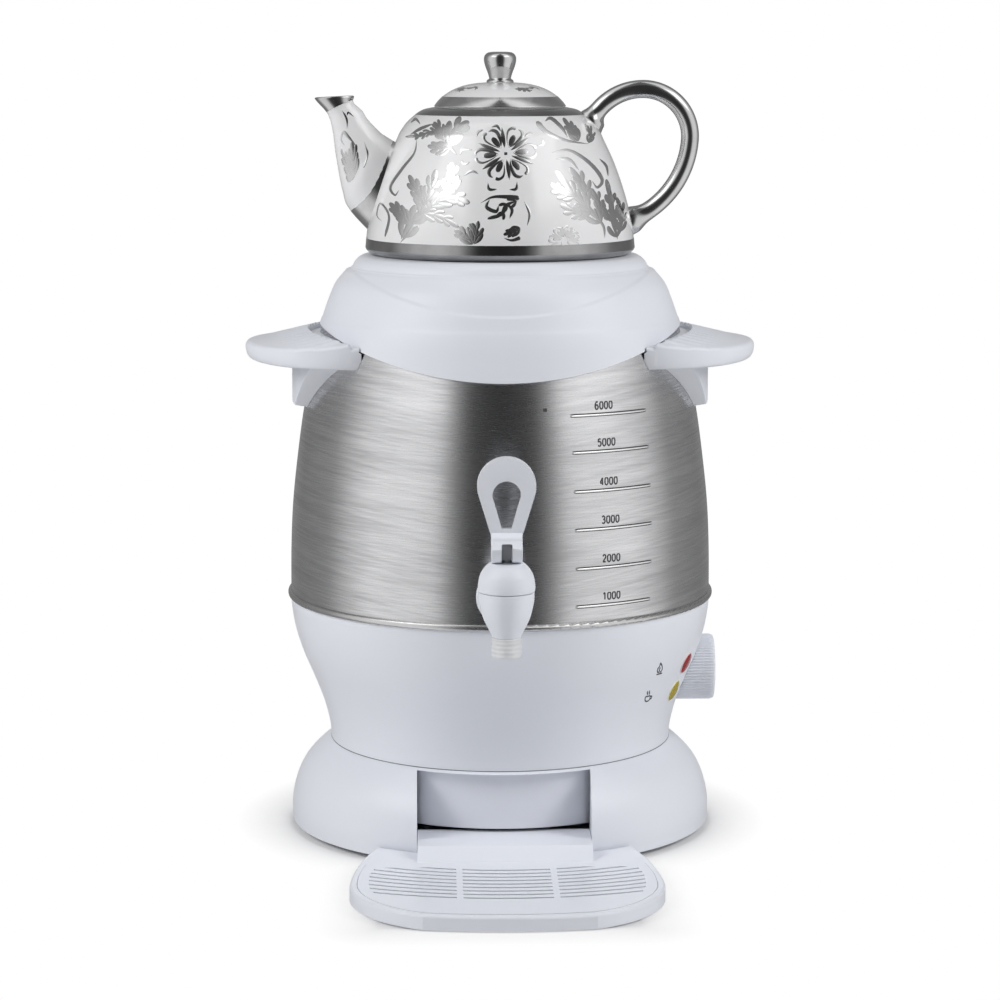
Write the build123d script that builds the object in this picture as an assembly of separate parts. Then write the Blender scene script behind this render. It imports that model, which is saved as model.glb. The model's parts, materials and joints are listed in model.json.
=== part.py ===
from build123d import *
import math
import os

# Electric samovar with a teapot on its cover. Millimetres, +Z up, -Y is the front with the tap.
# The origin is on the body's axis, on the surface that the foot ring stands on.

# Driving sizes of the round body, from the bottom up
foot_height = 2.5
skirt_top_z = 51.0
housing_top_z = 136.6
bead_height = 4.0
bead_radius = 126.0
tank_top_z = 297.0
cover_top_z = 338.3
wall_plastic = 3.0
wall_tank = 0.8
slide_gap = 0.3
fit_gap = 0.05

# Outlines as (radius, height) points, joined by splines or lines
skirt_outline = [(124.4, 0.0), (124.3, 12.0), (121.5, 24.0), (116.6, 34.0), (109.0, 42.5), (101.4, 48.5)]
housing_waist = 101.0
housing_outline = [(101.0, 0.0), (101.8, 9.0), (105.3, 23.0), (111.0, 38.0), (117.3, 53.0), (121.7, 67.0),
                   (123.9, 80.0), (124.0, 85.6)]
tank_outline = [(124.2, 0.0), (123.9, 25.0), (122.8, 49.0), (120.4, 73.0), (115.9, 106.0), (110.2, 133.5),
                (104.9, 156.4)]
cover_gap = 0.3
cover_lip = 1.3
cover_crown = [(105.4, 299.8), (104.0, 303.0), (100.7, 312.3), (96.6, 321.6), (90.4, 329.2)]
cover_ledge_drop = 0.9
cover_flat_radius = 77.2
cover_shoulder = [(86.6, 331.4), (84.6, 334.8), (81.2, 337.4)]
rim_front_z = 273.9
rim_arc_radius = 240.0
crease_front_z = 309.5
crease_arc_radius = 191.0

post_circle = 86.0
post_angles = (35, 145, 215, 325)
base_screw_radius = 1.9
base_screw_bite = 10.0

# Front recess and tray
recess_half_width = 49.5
recess_back_radius = 97.5
recess_sill_z = 17.0
recess_roof = 1.2
tray_front_radius = 244.4
tray_half_width = 85.8
tray_centre_y = -176.0
tray_back_half_width = 72.0
tray_front_half = 46.0
tray_corner = (73.0, -218.9)
tray_flank = (83.2, -148.0)
tray_height = 8.4
tray_wall = 2.4
tray_floor = 1.6
tray_clearance = 0.3
tongue_top_z = 15.0
grille_margin = 4.0
grille_thickness = 2.0
slot_pitch = 6.9
slot_width = 2.2
slot_first_radius = 155.0
slot_rows = 9

# Handles
ear_reach = 149.6
ear_centre_x = 80.0
ear_half_width = 74.0
ear_bottom_z = 277.2
ear_root_x = 104.0
ear_root_z = 296.4
ear_slope = 10.5
ear_crown_radius = 340.0
ear_round = 3.6
rib_count = 11
rib_height = 1.2
rib_root_radius = 112.5
rib_end_x = 125.0
rib_half = 1.5
rib_pitch = 6.2
rib_fall = 2.6
scoop_depth = 2.5
pad_radius = 122.4
pad_bottom_z = 244.0
pad_bottom_half = 26.7
pad_top_half = 71.5
screw_y = 26.0
screw_z = 262.0
screw_radius = 1.9
screw_head_x = 104.0

# Tap
tap_y = -158.0
tap_inlet_z = 157.0
bonnet_top_z = 181.8
bonnet_split_z = 165.6
bonnet_radius = 15.4
collar_radius = 8.4
collar_bottom_z = 129.5
collar_top_z = 140.4
neck_radius = 8.4
flange_radius = 16.2
stem_width = 5.4
pin_height = 8.0
pin_radius = 1.2
cam_radius = 3.0
lever_angle = 75.0
lever_thickness = 6.0
loop_radius = 16.0
loop_hole_radius = 7.7
loop_top_z = 239.5

# Knob, lamps and inlet
knob_z = 90.9
knob_radius = 19.5
knob_face_x = 127.6
knob_back_x = 104.2
knob_ribs = 60
lamp_radius = 6.6
lamp_places = {"red": (67.3, 102.1), "amber": (66.7, 85.4)}
inlet_z = 85.0
inlet_half_width = 30.0
inlet_half_height = 20.0
inlet_face_y = 118.4

# Teapot
pot_gap = 0.1
pot_foot_radius = 75.9
pot_outline = [(78.8, 4.0), (77.2, 18.0), (72.6, 36.0), (66.6, 53.0), (60.4, 66.4), (58.1, 71.2),
               (53.4, 77.4), (45.8, 83.2), (38.6, 85.1)]
pot_wall = 3.2
pot_mouth_radius = 33.5
spout_wall = 2.2
lid_rim_radius = 38.6
handle_top = (83.3, 433.9)
handle_side = (110.9, 404.1)
handle_foot = (83.0, 361.0)
handle_grip = 5.0

pin_z = bonnet_top_z + pin_height + 0.1
lever_foot_z = 198.3
loop_neck_half = 8.4
passage_radius = 5.2
chamber_radius = 10.8
outlet_radius = 4.6
seat_z = 149.0
cup_height = 3.6
flange_back_y = -127.0
nut_front_y = -119.5
shaft_end_x = 118.0
tongue_end_y = -91.0
plate_low_z = housing_top_z - 3.4
inlet_pin_spots = ((-7, -2), (0, 2), (7, -2))
pot_z = cover_top_z + pot_gap
bead_top_z = housing_top_z + bead_height
parts = {}


def shifted(points, dz=0.0, dr=0.0):
    return [(r + dr, z + dz) for r, z in points]


def lathe(points, smooth=None):
    """Turns a closed outline of (radius, height) points; smooth gives spans drawn as splines."""
    spans = smooth or []
    edges = []
    i = 0
    count = len(points)
    while i < count:
        span = next((s for s in spans if s[0] == i), None)
        if span:
            edges.append(Spline(*points[span[0]:span[1] + 1]))
            i = span[1]
            if i == count - 1:
                edges.append(Line(points[i], points[0]))
                break
        else:
            edges.append(Line(points[i], points[(i + 1) % count]))
            i += 1
    return revolve(Plane.XZ * make_face(edges), Axis.Z)


def ring(r_in, r_out, z0, z1):
    return Pos(0, 0, z0) * extrude(Circle(r_out) - Circle(r_in), z1 - z0)


def rod_x(x0, x1, y, z, radius):
    return Pos(x0, y, z) * Rot(0, 90, 0) * extrude(Circle(radius), x1 - x0)


def rod_y(y0, y1, x, z, radius):
    return Pos(x, y0, z) * Rot(-90, 0, 0) * extrude(Circle(radius), y1 - y0)


def rod_z(x, y, z0, z1, radius):
    return Pos(x, y, z0) * extrude(Circle(radius), z1 - z0)


def block(x0, x1, y0, y1, z0, z1):
    return Pos((x0 + x1) / 2, (y0 + y1) / 2, (z0 + z1) / 2) * Box(x1 - x0, y1 - y0, z1 - z0)


def radius_at(outline, base_z, z):
    """Radius of an outline at a height, by straight steps between its points."""
    rows = [(r, h + base_z) for r, h in outline]
    for (r0, z0), (r1, z1) in zip(rows, rows[1:]):
        if z0 <= z <= z1:
            return r0 + (r1 - r0) * (z - z0) / (z1 - z0)
    return rows[-1][0] if z > rows[-1][1] else rows[0][0]


def shell_of(outline, base_z, wall):
    """A turned wall of even thickness with its outside on a smooth outline."""
    outer = shifted(outline, base_z)
    inner = [(r - wall, z) for r, z in reversed(outer)]
    count = len(outer)
    return lathe(outer + inner, [(0, count - 1), (count, 2 * count - 1)])


def solid_of(outline, base_z, grow=0.0):
    """The full round body inside a smooth outline, grown outward by a clearance."""
    outer = shifted(outline, base_z, grow)
    points = outer + [(0.0, outer[-1][1]), (0.0, outer[0][1])]
    return lathe(points, [(0, len(outer) - 1)])


def arc_prism(front_z, radius, reach, z_far):
    """Space below or above an arc in the XZ plane that dips at X = 0, carried along Y."""
    rise = radius - math.sqrt(radius ** 2 - reach ** 2)
    ends = [(-reach, front_z + rise), (reach, front_z + rise)]
    edges = [ThreePointArc(ends[0], (0, front_z), ends[1]),
             Line(ends[1], (reach, z_far)),
             Line((reach, z_far), (-reach, z_far)),
             Line((-reach, z_far), ends[0])]
    face = Plane.XZ * make_face(edges)
    return extrude(face, 200, both=True)


def make_base_skirt():
    skirt = shell_of(skirt_outline, foot_height, wall_plastic)
    top = foot_height + skirt_outline[-1][1]
    skirt += ring(housing_waist - 8, skirt_outline[-1][0], top - wall_plastic, skirt_top_z)
    inside = solid_of(skirt_outline, foot_height, -0.5)
    half = recess_half_width
    skirt -= block(-half, half, -140, -70, foot_height - 1, skirt_top_z - recess_roof)
    liner_end_y = tongue_end_y + 3
    for x0 in (-half - wall_plastic, half):
        side = block(x0, x0 + wall_plastic, -130, liner_end_y, foot_height, skirt_top_z - 0.5)
        skirt += side & inside
    back = ring(recess_back_radius - wall_plastic, recess_back_radius, recess_sill_z, skirt_top_z - 0.5)
    back = back & block(-half - 1, half + 1, -130, 0, foot_height, skirt_top_z)
    return skirt + back


def post_places():
    """Frames on the axes of the four screw posts, turned with X outward."""
    return [Rot(0, 0, angle) * Pos(post_circle, 0, 0) for angle in post_angles]


def make_base_plate():
    plate = rod_z(0, 0, foot_height, foot_height + 2.5, 120.4)
    slot_w = recess_half_width + wall_plastic + slide_gap
    plate -= block(-slot_w, slot_w, -130, tongue_end_y + 3 + slide_gap, 0, foot_height + 5)
    for at in post_places():
        plate += at * rod_z(0, 0, foot_height + 2.5, skirt_top_z, 5.0)
        plate -= at * rod_z(0, 0, 0, skirt_top_z + 1, base_screw_radius + fit_gap)
        plate -= at * rod_z(0, 0, 0, foot_height + 1.0, 3.6)
    for row in range(5):
        for side in (-1, 1):
            x = side * (16 + 9 * row)
            plate -= block(x - 1.5, x + 1.5, 20, 62 - 5 * row, 0, foot_height + 5)
    return plate


def make_base_screws():
    screws = []
    for at in post_places():
        head = rod_z(0, 0, foot_height - 1.0, foot_height + 1.0, 3.3)
        shank = rod_z(0, 0, foot_height + 0.9, skirt_top_z + base_screw_bite, base_screw_radius)
        screws.append(at * (head + shank))
    return screws


def make_foot_ring():
    foot = ring(106, 117, 0, foot_height)
    cut_w = recess_half_width + wall_plastic + 2
    return foot - block(-cut_w, cut_w, -130, 0, -1, foot_height + 1)


def make_lower_housing():
    base = skirt_top_z
    housing = shell_of(housing_outline, base, wall_plastic)
    housing += ring(housing_waist - 9, housing_waist - 0.5, base, base + 2.5)
    housing += ring(housing_outline[-1][0] - 9, housing_outline[-1][0] - 1, housing_top_z - 2.5, housing_top_z)
    outer = solid_of(housing_outline, base)
    well = rod_x(knob_back_x - slide_gap - 2.5, 130, 0, knob_z, knob_radius + 3.4)
    housing += well & outer
    housing -= rod_x(knob_back_x - slide_gap, 140, 0, knob_z, knob_radius + 0.9)
    housing -= rod_x(80, 110, 0, knob_z, 5.2)
    for name in lamp_places:
        housing -= lamp_place(name) * rod_z(0, 0, -12, 6, lamp_radius - 0.9)
    pod = block(-inlet_half_width, inlet_half_width, 88, inlet_face_y,
                inlet_z - inlet_half_height, inlet_z + inlet_half_height)
    pod = fillet(pod.edges().filter_by(Axis.Y), 6)
    pod_inner = block(-inlet_half_width + 3, inlet_half_width - 3, 80, inlet_face_y - 3,
                      inlet_z - inlet_half_height + 3, inlet_z + inlet_half_height - 3)
    core = solid_of(housing_outline, base, -wall_plastic)
    housing += pod - core
    housing -= pod_inner
    housing -= block(-13.9, 13.9, 80, 130, inlet_z - 10.4, inlet_z + 10.4)
    for x in (-20, 20):
        housing -= rod_y(100, 130, x, inlet_z, 1.7)
    for at in post_places():
        boss = at * rod_z(0, 0, base, base + 26, 5.0)
        arm = at * block(0, 14, -1.5, 1.5, base, base + 26)
        housing += boss + (arm & core)
        housing -= at * rod_z(0, 0, base - 1, base + 20, base_screw_radius + fit_gap)
    return housing


def lamp_place(name):
    """Frame on the housing surface with +Z outward, at a lamp's azimuth from the front."""
    azimuth, z = lamp_places[name]
    r = radius_at(housing_outline, skirt_top_z, z)
    a = math.radians(azimuth - 90)
    spot = (r * math.cos(a), r * math.sin(a), z)
    tilt = math.degrees(math.atan2(radius_at(housing_outline, skirt_top_z, z + 5)
                                   - radius_at(housing_outline, skirt_top_z, z - 5), 10))
    return Pos(*spot) * Rot(0, 0, azimuth - 90) * Rot(0, 90 + tilt, 0)


def make_lamp(name):
    lens = rod_z(0, 0, 0.3, 1.4, lamp_radius)
    lens = fillet(lens.edges().group_by(Axis.Z)[-1], 0.9)
    return lamp_place(name) * (lens + rod_z(0, 0, -10, 0.4, lamp_radius - 1.0))


def make_lamp_holders():
    holders = []
    for name in lamp_places:
        sleeve = ring(lamp_radius - 0.9, lamp_radius + 1.6, -11, -4.4)
        holders.append(lamp_place(name) * (sleeve + rod_z(0, 0, -14, -10.2, lamp_radius + 1.6)))
    return holders


def make_seam_bead():
    z0 = housing_top_z
    bead = ring(bead_radius - 5.5, bead_radius, z0, z0 + bead_height)
    outer = bead.edges().filter_by(GeomType.CIRCLE).sort_by(lambda e: -e.radius)[0:2]
    return fillet(outer, bead_height / 2 - 0.3)


def make_tank_shell():
    wall = shell_of(tank_outline, bead_top_z, wall_tank)
    wall -= rod_y(-140, -100, 0, tap_inlet_z, neck_radius + 0.4)
    for y in (-screw_y, screw_y):
        wall -= rod_x(-140, 140, y, screw_z, screw_radius + fit_gap)
    return wall


def make_tank_floor():
    r = bead_radius - 5.6
    floor = rod_z(0, 0, housing_top_z + 0.6, housing_top_z + 1.6, r)
    return floor + ring(r - 1.0, r, housing_top_z + 0.6, bead_top_z)


def make_tank_rim():
    return ring(98.6, 104.4, tank_top_z, tank_top_z + 1.6)


def make_cover_gasket():
    z0 = tank_top_z + 1.6
    return ring(98.6, 102.4, z0, z0 + 2.4)


def cover_lower_outline():
    """Outside of the cover where it overlaps the tank wall, from low to high."""
    lip = cover_gap + cover_lip
    heights = (266.0, 274.0, 284.0, 293.0)
    return [(radius_at(tank_outline, bead_top_z, z) + lip, z) for z in heights]


def make_cover_shell():
    low = cover_lower_outline()
    rim_r = radius_at(tank_outline, bead_top_z, tank_top_z)
    crown = low + cover_crown
    shoulder = [(87.2, 331.0)] + cover_shoulder + [(cover_flat_radius, cover_top_z)]
    ledge_z = tank_top_z + 4.0
    ledge_r = rim_r + cover_gap
    inner = [(0, cover_top_z - wall_plastic), (cover_flat_radius, cover_top_z - wall_plastic),
             (86.4, 328.0), (93.2, 320.6), (97.4, 311.6), (98.0, ledge_z),
             (ledge_r, ledge_z)]
    inner += [(r - cover_lip, z) for r, z in reversed(low)]
    points = crown + shoulder + [(0, cover_top_z)] + inner
    n = len(crown)
    m = n + len(shoulder)
    cover = lathe(points, [(0, n - 1), (n, m - 1)])
    full = lathe(crown + [(0, 329.2), (0, 266)], [(0, n - 1)])
    inset = lathe([(r - cover_ledge_drop, z) for r, z in crown] + [(0, 329.2), (0, 266)], [(0, n - 1)])
    above_crease = arc_prism(crease_front_z, crease_arc_radius, 120, 400)
    cover -= (full - inset) & above_crease
    cover -= arc_prism(rim_front_z, rim_arc_radius, 130, 200)
    cover -= solid_of(tank_outline, bead_top_z, cover_gap)
    cover -= rod_z(0, 0, 330, 345, 7)
    for i in range(8):
        cover -= Rot(0, 0, 45 * i) * rod_z(42, 0, 330, 345, 5)
    return cover


def make_steam_plate():
    plate = rod_z(0, 0, cover_top_z - wall_plastic - 1.0, cover_top_z - wall_plastic, 60)
    for i in range(8):
        plate -= Rot(0, 0, 45 * i + 22.5) * rod_z(24, 0, 320, 345, 3.5)
    return plate


def ear_outline(shrink=0.0):
    ear = Pos(ear_centre_x, 0) * Ellipse(ear_reach - ear_centre_x - shrink, ear_half_width - shrink)
    return ear & (Pos(ear_centre_x + 100, 0) * Rectangle(200, 300))


def ear_barrel(lift=0.0, extra=0.0):
    """Space under the ear's top: a barrel along the ear that falls towards its tip."""
    slope = ear_slope + extra
    barrel = Cylinder(ear_crown_radius + lift, 300, rotation=(0, 90 + slope, 0))
    slope = math.radians(slope)
    return Pos(ear_root_x - ear_crown_radius * math.sin(slope), 0,
               ear_root_z - ear_crown_radius * math.cos(slope)) * barrel


def make_handle(side):
    ear = (Pos(0, 0, ear_bottom_z) * extrude(ear_outline(), ear_root_z + 8 - ear_bottom_z)) & ear_barrel()
    outside = [e for e in ear.edges() if e.center().X > ear_centre_x + 5 and abs(e.tangent_at(0.5).Z) < 0.5]
    ear = fillet(outside, ear_round)
    rib_barrel = ear_barrel(rib_height, rib_fall)
    ribs = []
    for i in range(rib_count):
        y = (i - (rib_count - 1) / 2) * rib_pitch
        root_x = math.sqrt(rib_root_radius ** 2 - y ** 2) - 0.2
        rib = make_face(Polyline((root_x, y - rib_half), (rib_end_x, y - rib_half), (rib_end_x, y + rib_half),
                                 (root_x, y + rib_half), close=True))
        ribs.append((Pos(0, 0, ear_bottom_z + 4) * extrude(rib, 24)) & rib_barrel)
    ear -= rod_z(0, 0, ear_bottom_z, ear_root_z + 8, rib_root_radius) - ear_barrel(-scoop_depth)
    low, high = pad_bottom_z, ear_bottom_z + 6
    pad_face = Plane.YZ.offset(70) * make_face(Polyline(
        (-pad_top_half, high), (-pad_bottom_half, low), (pad_bottom_half, low), (pad_top_half, high),
        close=True))
    pad = extrude(pad_face, 60, taper=9) & rod_z(0, 0, low, high, pad_radius)
    handle = ear + pad
    for rib in ribs:
        handle += rib
    low_outline = cover_lower_outline() + cover_crown[:2]
    over = lathe([(r + 0.8, z) for r, z in low_outline] + [(0, low_outline[-1][1]), (0, 266)],
                 [(0, len(low_outline) - 1)])
    handle -= over - arc_prism(rim_front_z - 0.8, rim_arc_radius, 130, 200)
    handle -= solid_of(tank_outline, bead_top_z, 0.1)
    for y in (-screw_y, screw_y):
        handle -= rod_x(95, pad_radius - 4, y, screw_z, screw_radius + fit_gap)
    handle = Compound(handle.solids()).solids().sort_by(lambda s: -s.volume)[0]
    return handle if side > 0 else mirror(handle, Plane.YZ)


def make_handle_screws():
    screws = []
    inside = solid_of(tank_outline, bead_top_z, -wall_tank - fit_gap)
    for side in (-1, 1):
        for y in (-screw_y, screw_y):
            head = rod_x(screw_head_x, pad_radius, y, screw_z, 3.6) & inside
            screw = head + rod_x(screw_head_x, pad_radius - 5, y, screw_z, screw_radius)
            screws.append(screw if side > 0 else mirror(screw, Plane.YZ))
    return screws


def at_tap(shape):
    return Pos(0, tap_y, 0) * shape


def make_tap_body():
    outer = [(7.6, collar_top_z), (9.2, 143.6), (11.7, 148.5), (13.5, 153.2), (14.7, 159.2),
             (bonnet_radius - 0.2, bonnet_split_z)]
    body = at_tap(lathe(outer + [(0, bonnet_split_z), (0, collar_top_z)], [(0, len(outer) - 1)]))
    body += rod_y(tap_y, -108, 0, tap_inlet_z, neck_radius - 0.4)
    body += rod_y(-130, flange_back_y, 0, tap_inlet_z, flange_radius)
    body -= rod_y(tap_y, -100, 0, tap_inlet_z, passage_radius)
    body -= rod_z(0, tap_y, seat_z, bonnet_split_z + 1, chamber_radius)
    body -= rod_z(0, tap_y, 130, seat_z + 1, outlet_radius)
    return body


def make_tap_bonnet():
    outer = [(bonnet_radius, bonnet_split_z), (bonnet_radius + 0.2, 169.2), (14.6, 174.6), (12.2, 178.8),
             (9.4, bonnet_top_z)]
    inner = [(0, bonnet_top_z), (0, 176.5), (7.0, 176.5), (chamber_radius, 172.5),
             (chamber_radius, bonnet_split_z)]
    bonnet = at_tap(lathe(outer + inner, [(0, len(outer) - 1)]))
    return bonnet - rod_z(0, tap_y, 170, 190, stem_width / 2 + 0.1)


def make_tap_stem():
    half = stem_width / 2
    stem = rod_z(0, tap_y, seat_z + cup_height, pin_z - 4, half)
    stem += rod_x(-half, half, tap_y, pin_z, half) + block(
        -half + 0.1, half - 0.1, tap_y - half + 0.1, tap_y + half - 0.1, pin_z - 6.5, pin_z)
    return stem - rod_x(-10, 10, tap_y, pin_z, pin_radius + fit_gap)


def make_tap_seat_cup():
    cup = rod_z(0, tap_y, seat_z, seat_z + cup_height, outlet_radius + 3)
    return cup - rod_z(0, tap_y, seat_z - 1, seat_z + 1.4, outlet_radius - 1.5)


def make_tap_collar():
    return at_tap(ring(outlet_radius + 0.6, collar_radius, collar_bottom_z, collar_top_z))


def make_tap_gasket():
    washer = rod_y(flange_back_y, -110, 0, tap_inlet_z, flange_radius - 0.8)
    washer -= rod_y(-140, -100, 0, tap_inlet_z, neck_radius)
    washer -= solid_of(tank_outline, bead_top_z)
    return washer.solids().sort_by(lambda s: s.center().Y)[0]


def make_tap_inner_gasket():
    washer = rod_y(-130, nut_front_y, 0, tap_inlet_z, neck_radius + 5)
    washer -= rod_y(-140, -100, 0, tap_inlet_z, neck_radius)
    return washer & solid_of(tank_outline, bead_top_z, -wall_tank)


def make_tap_nut():
    hexagon = extrude(RegularPolygon(neck_radius + 5.2, 6), 5)
    nut = Pos(0, nut_front_y, tap_inlet_z) * Rot(-90, 0, 0) * hexagon
    return nut - rod_y(-140, -100, 0, tap_inlet_z, neck_radius - 0.35)


def cam_point(angle):
    """Involute of a circle: its support distance grows by cam_radius for each radian of tilt."""
    reach = pin_height + cam_radius * angle
    s, c = math.sin(angle), math.cos(angle)
    return (-reach * s - cam_radius * c, -reach * c + cam_radius * s)


def make_tap_lever():
    half = lever_thickness / 2
    steps = 5
    end = math.radians(lever_angle + 4)
    cam = [cam_point(end * i / steps) for i in range(steps + 1)]
    rear = half + 1.0
    foot_top = lever_foot_z - pin_z
    edges = [Spline(*cam),
             Line(cam[-1], (-8.6, 4.6)),
             ThreePointArc((-8.6, 4.6), (-5.6, 7.4), (-half, foot_top)),
             Line((-half, foot_top), (half, foot_top)),
             Line((half, foot_top), (rear, 4)),
             Line((rear, 4), (rear, -pin_height)),
             Line((rear, -pin_height), cam[0])]
    foot_face = Plane.YZ * make_face(edges)
    foot = Pos(-loop_neck_half, tap_y, pin_z) * extrude(foot_face, 2 * loop_neck_half)
    loop_z = loop_top_z - loop_radius
    hull = make_hull((Pos(0, loop_z) * Circle(loop_radius)).edges()
                     + (Pos(0, lever_foot_z - 1) * Rectangle(2 * loop_neck_half, 2)).edges())
    hole = make_hull((Pos(0, loop_z - 4.8) * Circle(loop_hole_radius)).edges()
                     + (Pos(0, lever_foot_z + 3.2) * Rectangle(5.4, 2)).edges())
    plate = Plane.XZ.offset(-tap_y - half) * (hull - hole)
    loop = extrude(plate, lever_thickness)
    loop = fillet(loop.edges().filter_by(GeomType.CIRCLE), 0.9)
    lever = foot + loop
    slot = stem_width / 2 + 0.25
    lever -= block(-slot, slot, tap_y - 20, tap_y + 20, pin_z - 12, pin_z + 3.3)
    return lever - rod_x(-20, 20, tap_y, pin_z, pin_radius + 0.01)


def make_lever_pin():
    return rod_x(-loop_neck_half, loop_neck_half, tap_y, pin_z, pin_radius)


def make_control_knob():
    points = []
    for i in range(2 * knob_ribs):
        r = knob_radius - (0.5 if i % 2 else 0.0)
        a = math.pi * i / knob_ribs
        points.append((r * math.cos(a), r * math.sin(a)))
    grip = extrude(Plane.YZ * make_face(Polyline(*points, close=True)), knob_face_x - knob_back_x - 2.4)
    knob = Pos(knob_back_x, 0, knob_z) * grip
    cap = rod_x(knob_face_x - 2.4, knob_face_x, 0, knob_z, knob_radius - 0.3)
    cap = fillet(cap.edges().sort_by(Axis.X)[-1], 1.4)
    return knob + cap - rod_x(knob_back_x - 1, shaft_end_x + 0.2, 0, knob_z, 3.0 + fit_gap)


def make_switch_shaft():
    return rod_x(knob_back_x - 22, shaft_end_x, 0, knob_z, 3.0)


def make_rotary_switch():
    face_x = knob_back_x - 16
    switch = block(face_x - 24, face_x, -14, 14, knob_z - 13, knob_z + 13)
    switch += rod_x(face_x, knob_back_x - slide_gap - 0.4, 0, knob_z, 5.0)
    switch += rod_x(knob_back_x - slide_gap - 6.5, knob_back_x - slide_gap - 2.5, 0, knob_z, 8.0)
    for y in (-9, 0, 9):
        switch += block(face_x - 30, face_x - 23, y - 0.4, y + 0.4, knob_z - 3, knob_z + 3)
    return switch - rod_x(knob_back_x - 22, 130, 0, knob_z, 3.0 + fit_gap)


def tray_outline(inset=0.0):
    """Plan of the tray, drawn smaller all round by an inset; both long arcs are concentric with the body."""
    front_x = tray_front_half - 0.4 * inset
    front_r = tray_front_radius - inset
    back_r = skirt_outline[0][0] + 0.8 + inset
    back_x = tray_back_half_width - 1.2 * inset
    front = (front_x, -math.sqrt(front_r ** 2 - front_x ** 2))
    side = (tray_half_width - inset, tray_centre_y)
    back = (back_x, -math.sqrt(back_r ** 2 - back_x ** 2))
    corner = (tray_corner[0] - 0.78 * inset, tray_corner[1] + 0.62 * inset)
    flank = (tray_flank[0] - 0.99 * inset, tray_flank[1] - 0.14 * inset)

    def flip(p):
        return (-p[0], p[1])
    edges = [ThreePointArc(flip(front), (0, -front_r), front),
             ThreePointArc(front, corner, side),
             ThreePointArc(side, flank, back),
             ThreePointArc(back, (0, -back_r), flip(back)),
             ThreePointArc(flip(back), flip(flank), flip(side)),
             ThreePointArc(flip(side), flip(corner), flip(front))]
    return make_face(edges)


def make_drip_tray():
    shape = tray_outline()
    z0 = tray_clearance
    tray = Pos(0, 0, z0) * extrude(shape, tray_height - z0)
    tray = fillet(tray.edges().group_by(Axis.Z)[-1], 1.6)
    half = recess_half_width - tray_clearance
    tongue_face = Plane.YZ * make_face(Polyline(
        (-138, tray_height - 0.4), (-126, tongue_top_z), (tongue_end_y, tongue_top_z), (tongue_end_y, 2.0),
        (-138, 2.0), close=True))
    tray += Pos(-half, 0, 0) * extrude(tongue_face, 2 * half)
    clip = Pos(0, -200) * Rectangle(300, 118)
    upper = tray_outline(grille_margin) & clip
    lower = tray_outline(grille_margin + tray_wall) & (Pos(0, -200) * Rectangle(300, 113))
    tray -= Pos(0, 0, tray_height - grille_thickness) * extrude(upper, 20)
    tray -= Pos(0, 0, z0 + tray_floor) * extrude(lower, 20)
    tray -= block(-half + 3, half - 3, -124, tongue_end_y - 3, 1.0, tongue_top_z - 2.4)
    return tray


def make_drip_grille():
    clip = Pos(0, -200) * Rectangle(300, 118 - 2 * tray_clearance)
    plate_face = tray_outline(grille_margin + tray_clearance) & clip
    z0 = tray_height - grille_thickness
    plate = Pos(0, 0, z0) * extrude(plate_face, grille_thickness + 0.2)
    zone = tray_outline(grille_margin + 6.5) & (Pos(0, -200) * Rectangle(300, 104))
    zone -= Pos(26, -180) * Rectangle(3.4, 200)
    zone -= Pos(-26, -180) * Rectangle(3.4, 200)
    for row in range(slot_rows):
        r = slot_first_radius + slot_pitch * row
        slots = (Circle(r + slot_width / 2) - Circle(r - slot_width / 2)) & zone
        plate -= Pos(0, 0, z0 - 1) * extrude(slots, 6)
    return plate


def pot_solid(grow=0.0):
    outer = shifted(pot_outline, pot_z, grow)
    return lathe(outer + [(0, outer[-1][1]), (0, pot_z), (pot_foot_radius, pot_z)], [(0, len(outer) - 1)])


def make_teapot_body():
    outer = shifted(pot_outline, pot_z)
    n = len(outer)
    top = outer[-1][1]
    inner = [(pot_mouth_radius, top), (pot_mouth_radius, top - pot_wall),
             (43.8, top - 5.5), (51.6, top - 12.0), (59.0, top - 22.5), (65.3, top - 39.7),
             (71.6, top - 56.9), (74.6, top - 74.8), (73.4, pot_z + pot_wall), (0, pot_z + pot_wall)]
    body = lathe(outer + inner + [(0, pot_z), (pot_foot_radius, pot_z)], [(0, n - 1), (n + 1, n + 8)])
    for y, z in ((0, 0), (-6, 5), (6, 5), (-6, -5), (6, -5), (0, 10), (0, -10)):
        body -= rod_x(-80, -58, y, pot_z + 46 + z, 1.7)
    return body


def spout_section(centre, slope, half_high, half_wide, wall=0.0):
    """An ellipse across the spout at a centre (x, z), square to a direction of travel."""
    plane = Plane(origin=(centre[0], 0, centre[1]), x_dir=(0, 1, 0), z_dir=(slope[0], 0, slope[1]))
    return plane * Ellipse(half_wide - wall, half_high - wall)


def make_teapot_spout():
    rows = [((-59, 369.5), (-0.947, 0.322), 28.0, 18.0), ((-76.6, 384.9), (-0.884, 0.468), 23.8, 15.0),
            ((-81.2, 392.1), (-0.85, 0.53), 20.4, 12.6), ((-86.6, 406.0), (-0.77, 0.64), 14.2, 9.4),
            ((-88.9, 415.4), (-0.58, 0.81), 10.5, 7.8), ((-92.9, 423.1), (-0.37, 0.93), 8.3, 6.6), ((-96.4, 429.0), (-0.05, 1.0), 11.4, 7.0)]
    lift = pot_z - 338.4
    rows = [((c[0], c[1] + lift), s, a, b) for c, s, a, b in rows]
    outer = [spout_section(*row) for row in rows]
    bore = [spout_section(*row, wall=spout_wall) for row in rows]
    solid = loft(outer[:-1]) + loft(outer[-2:], ruled=True)
    space = loft(bore[:-1]) + loft(bore[-2:], ruled=True)
    return (solid - pot_solid() - space).solids().sort_by(lambda s: -s.volume)[0]


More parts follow.
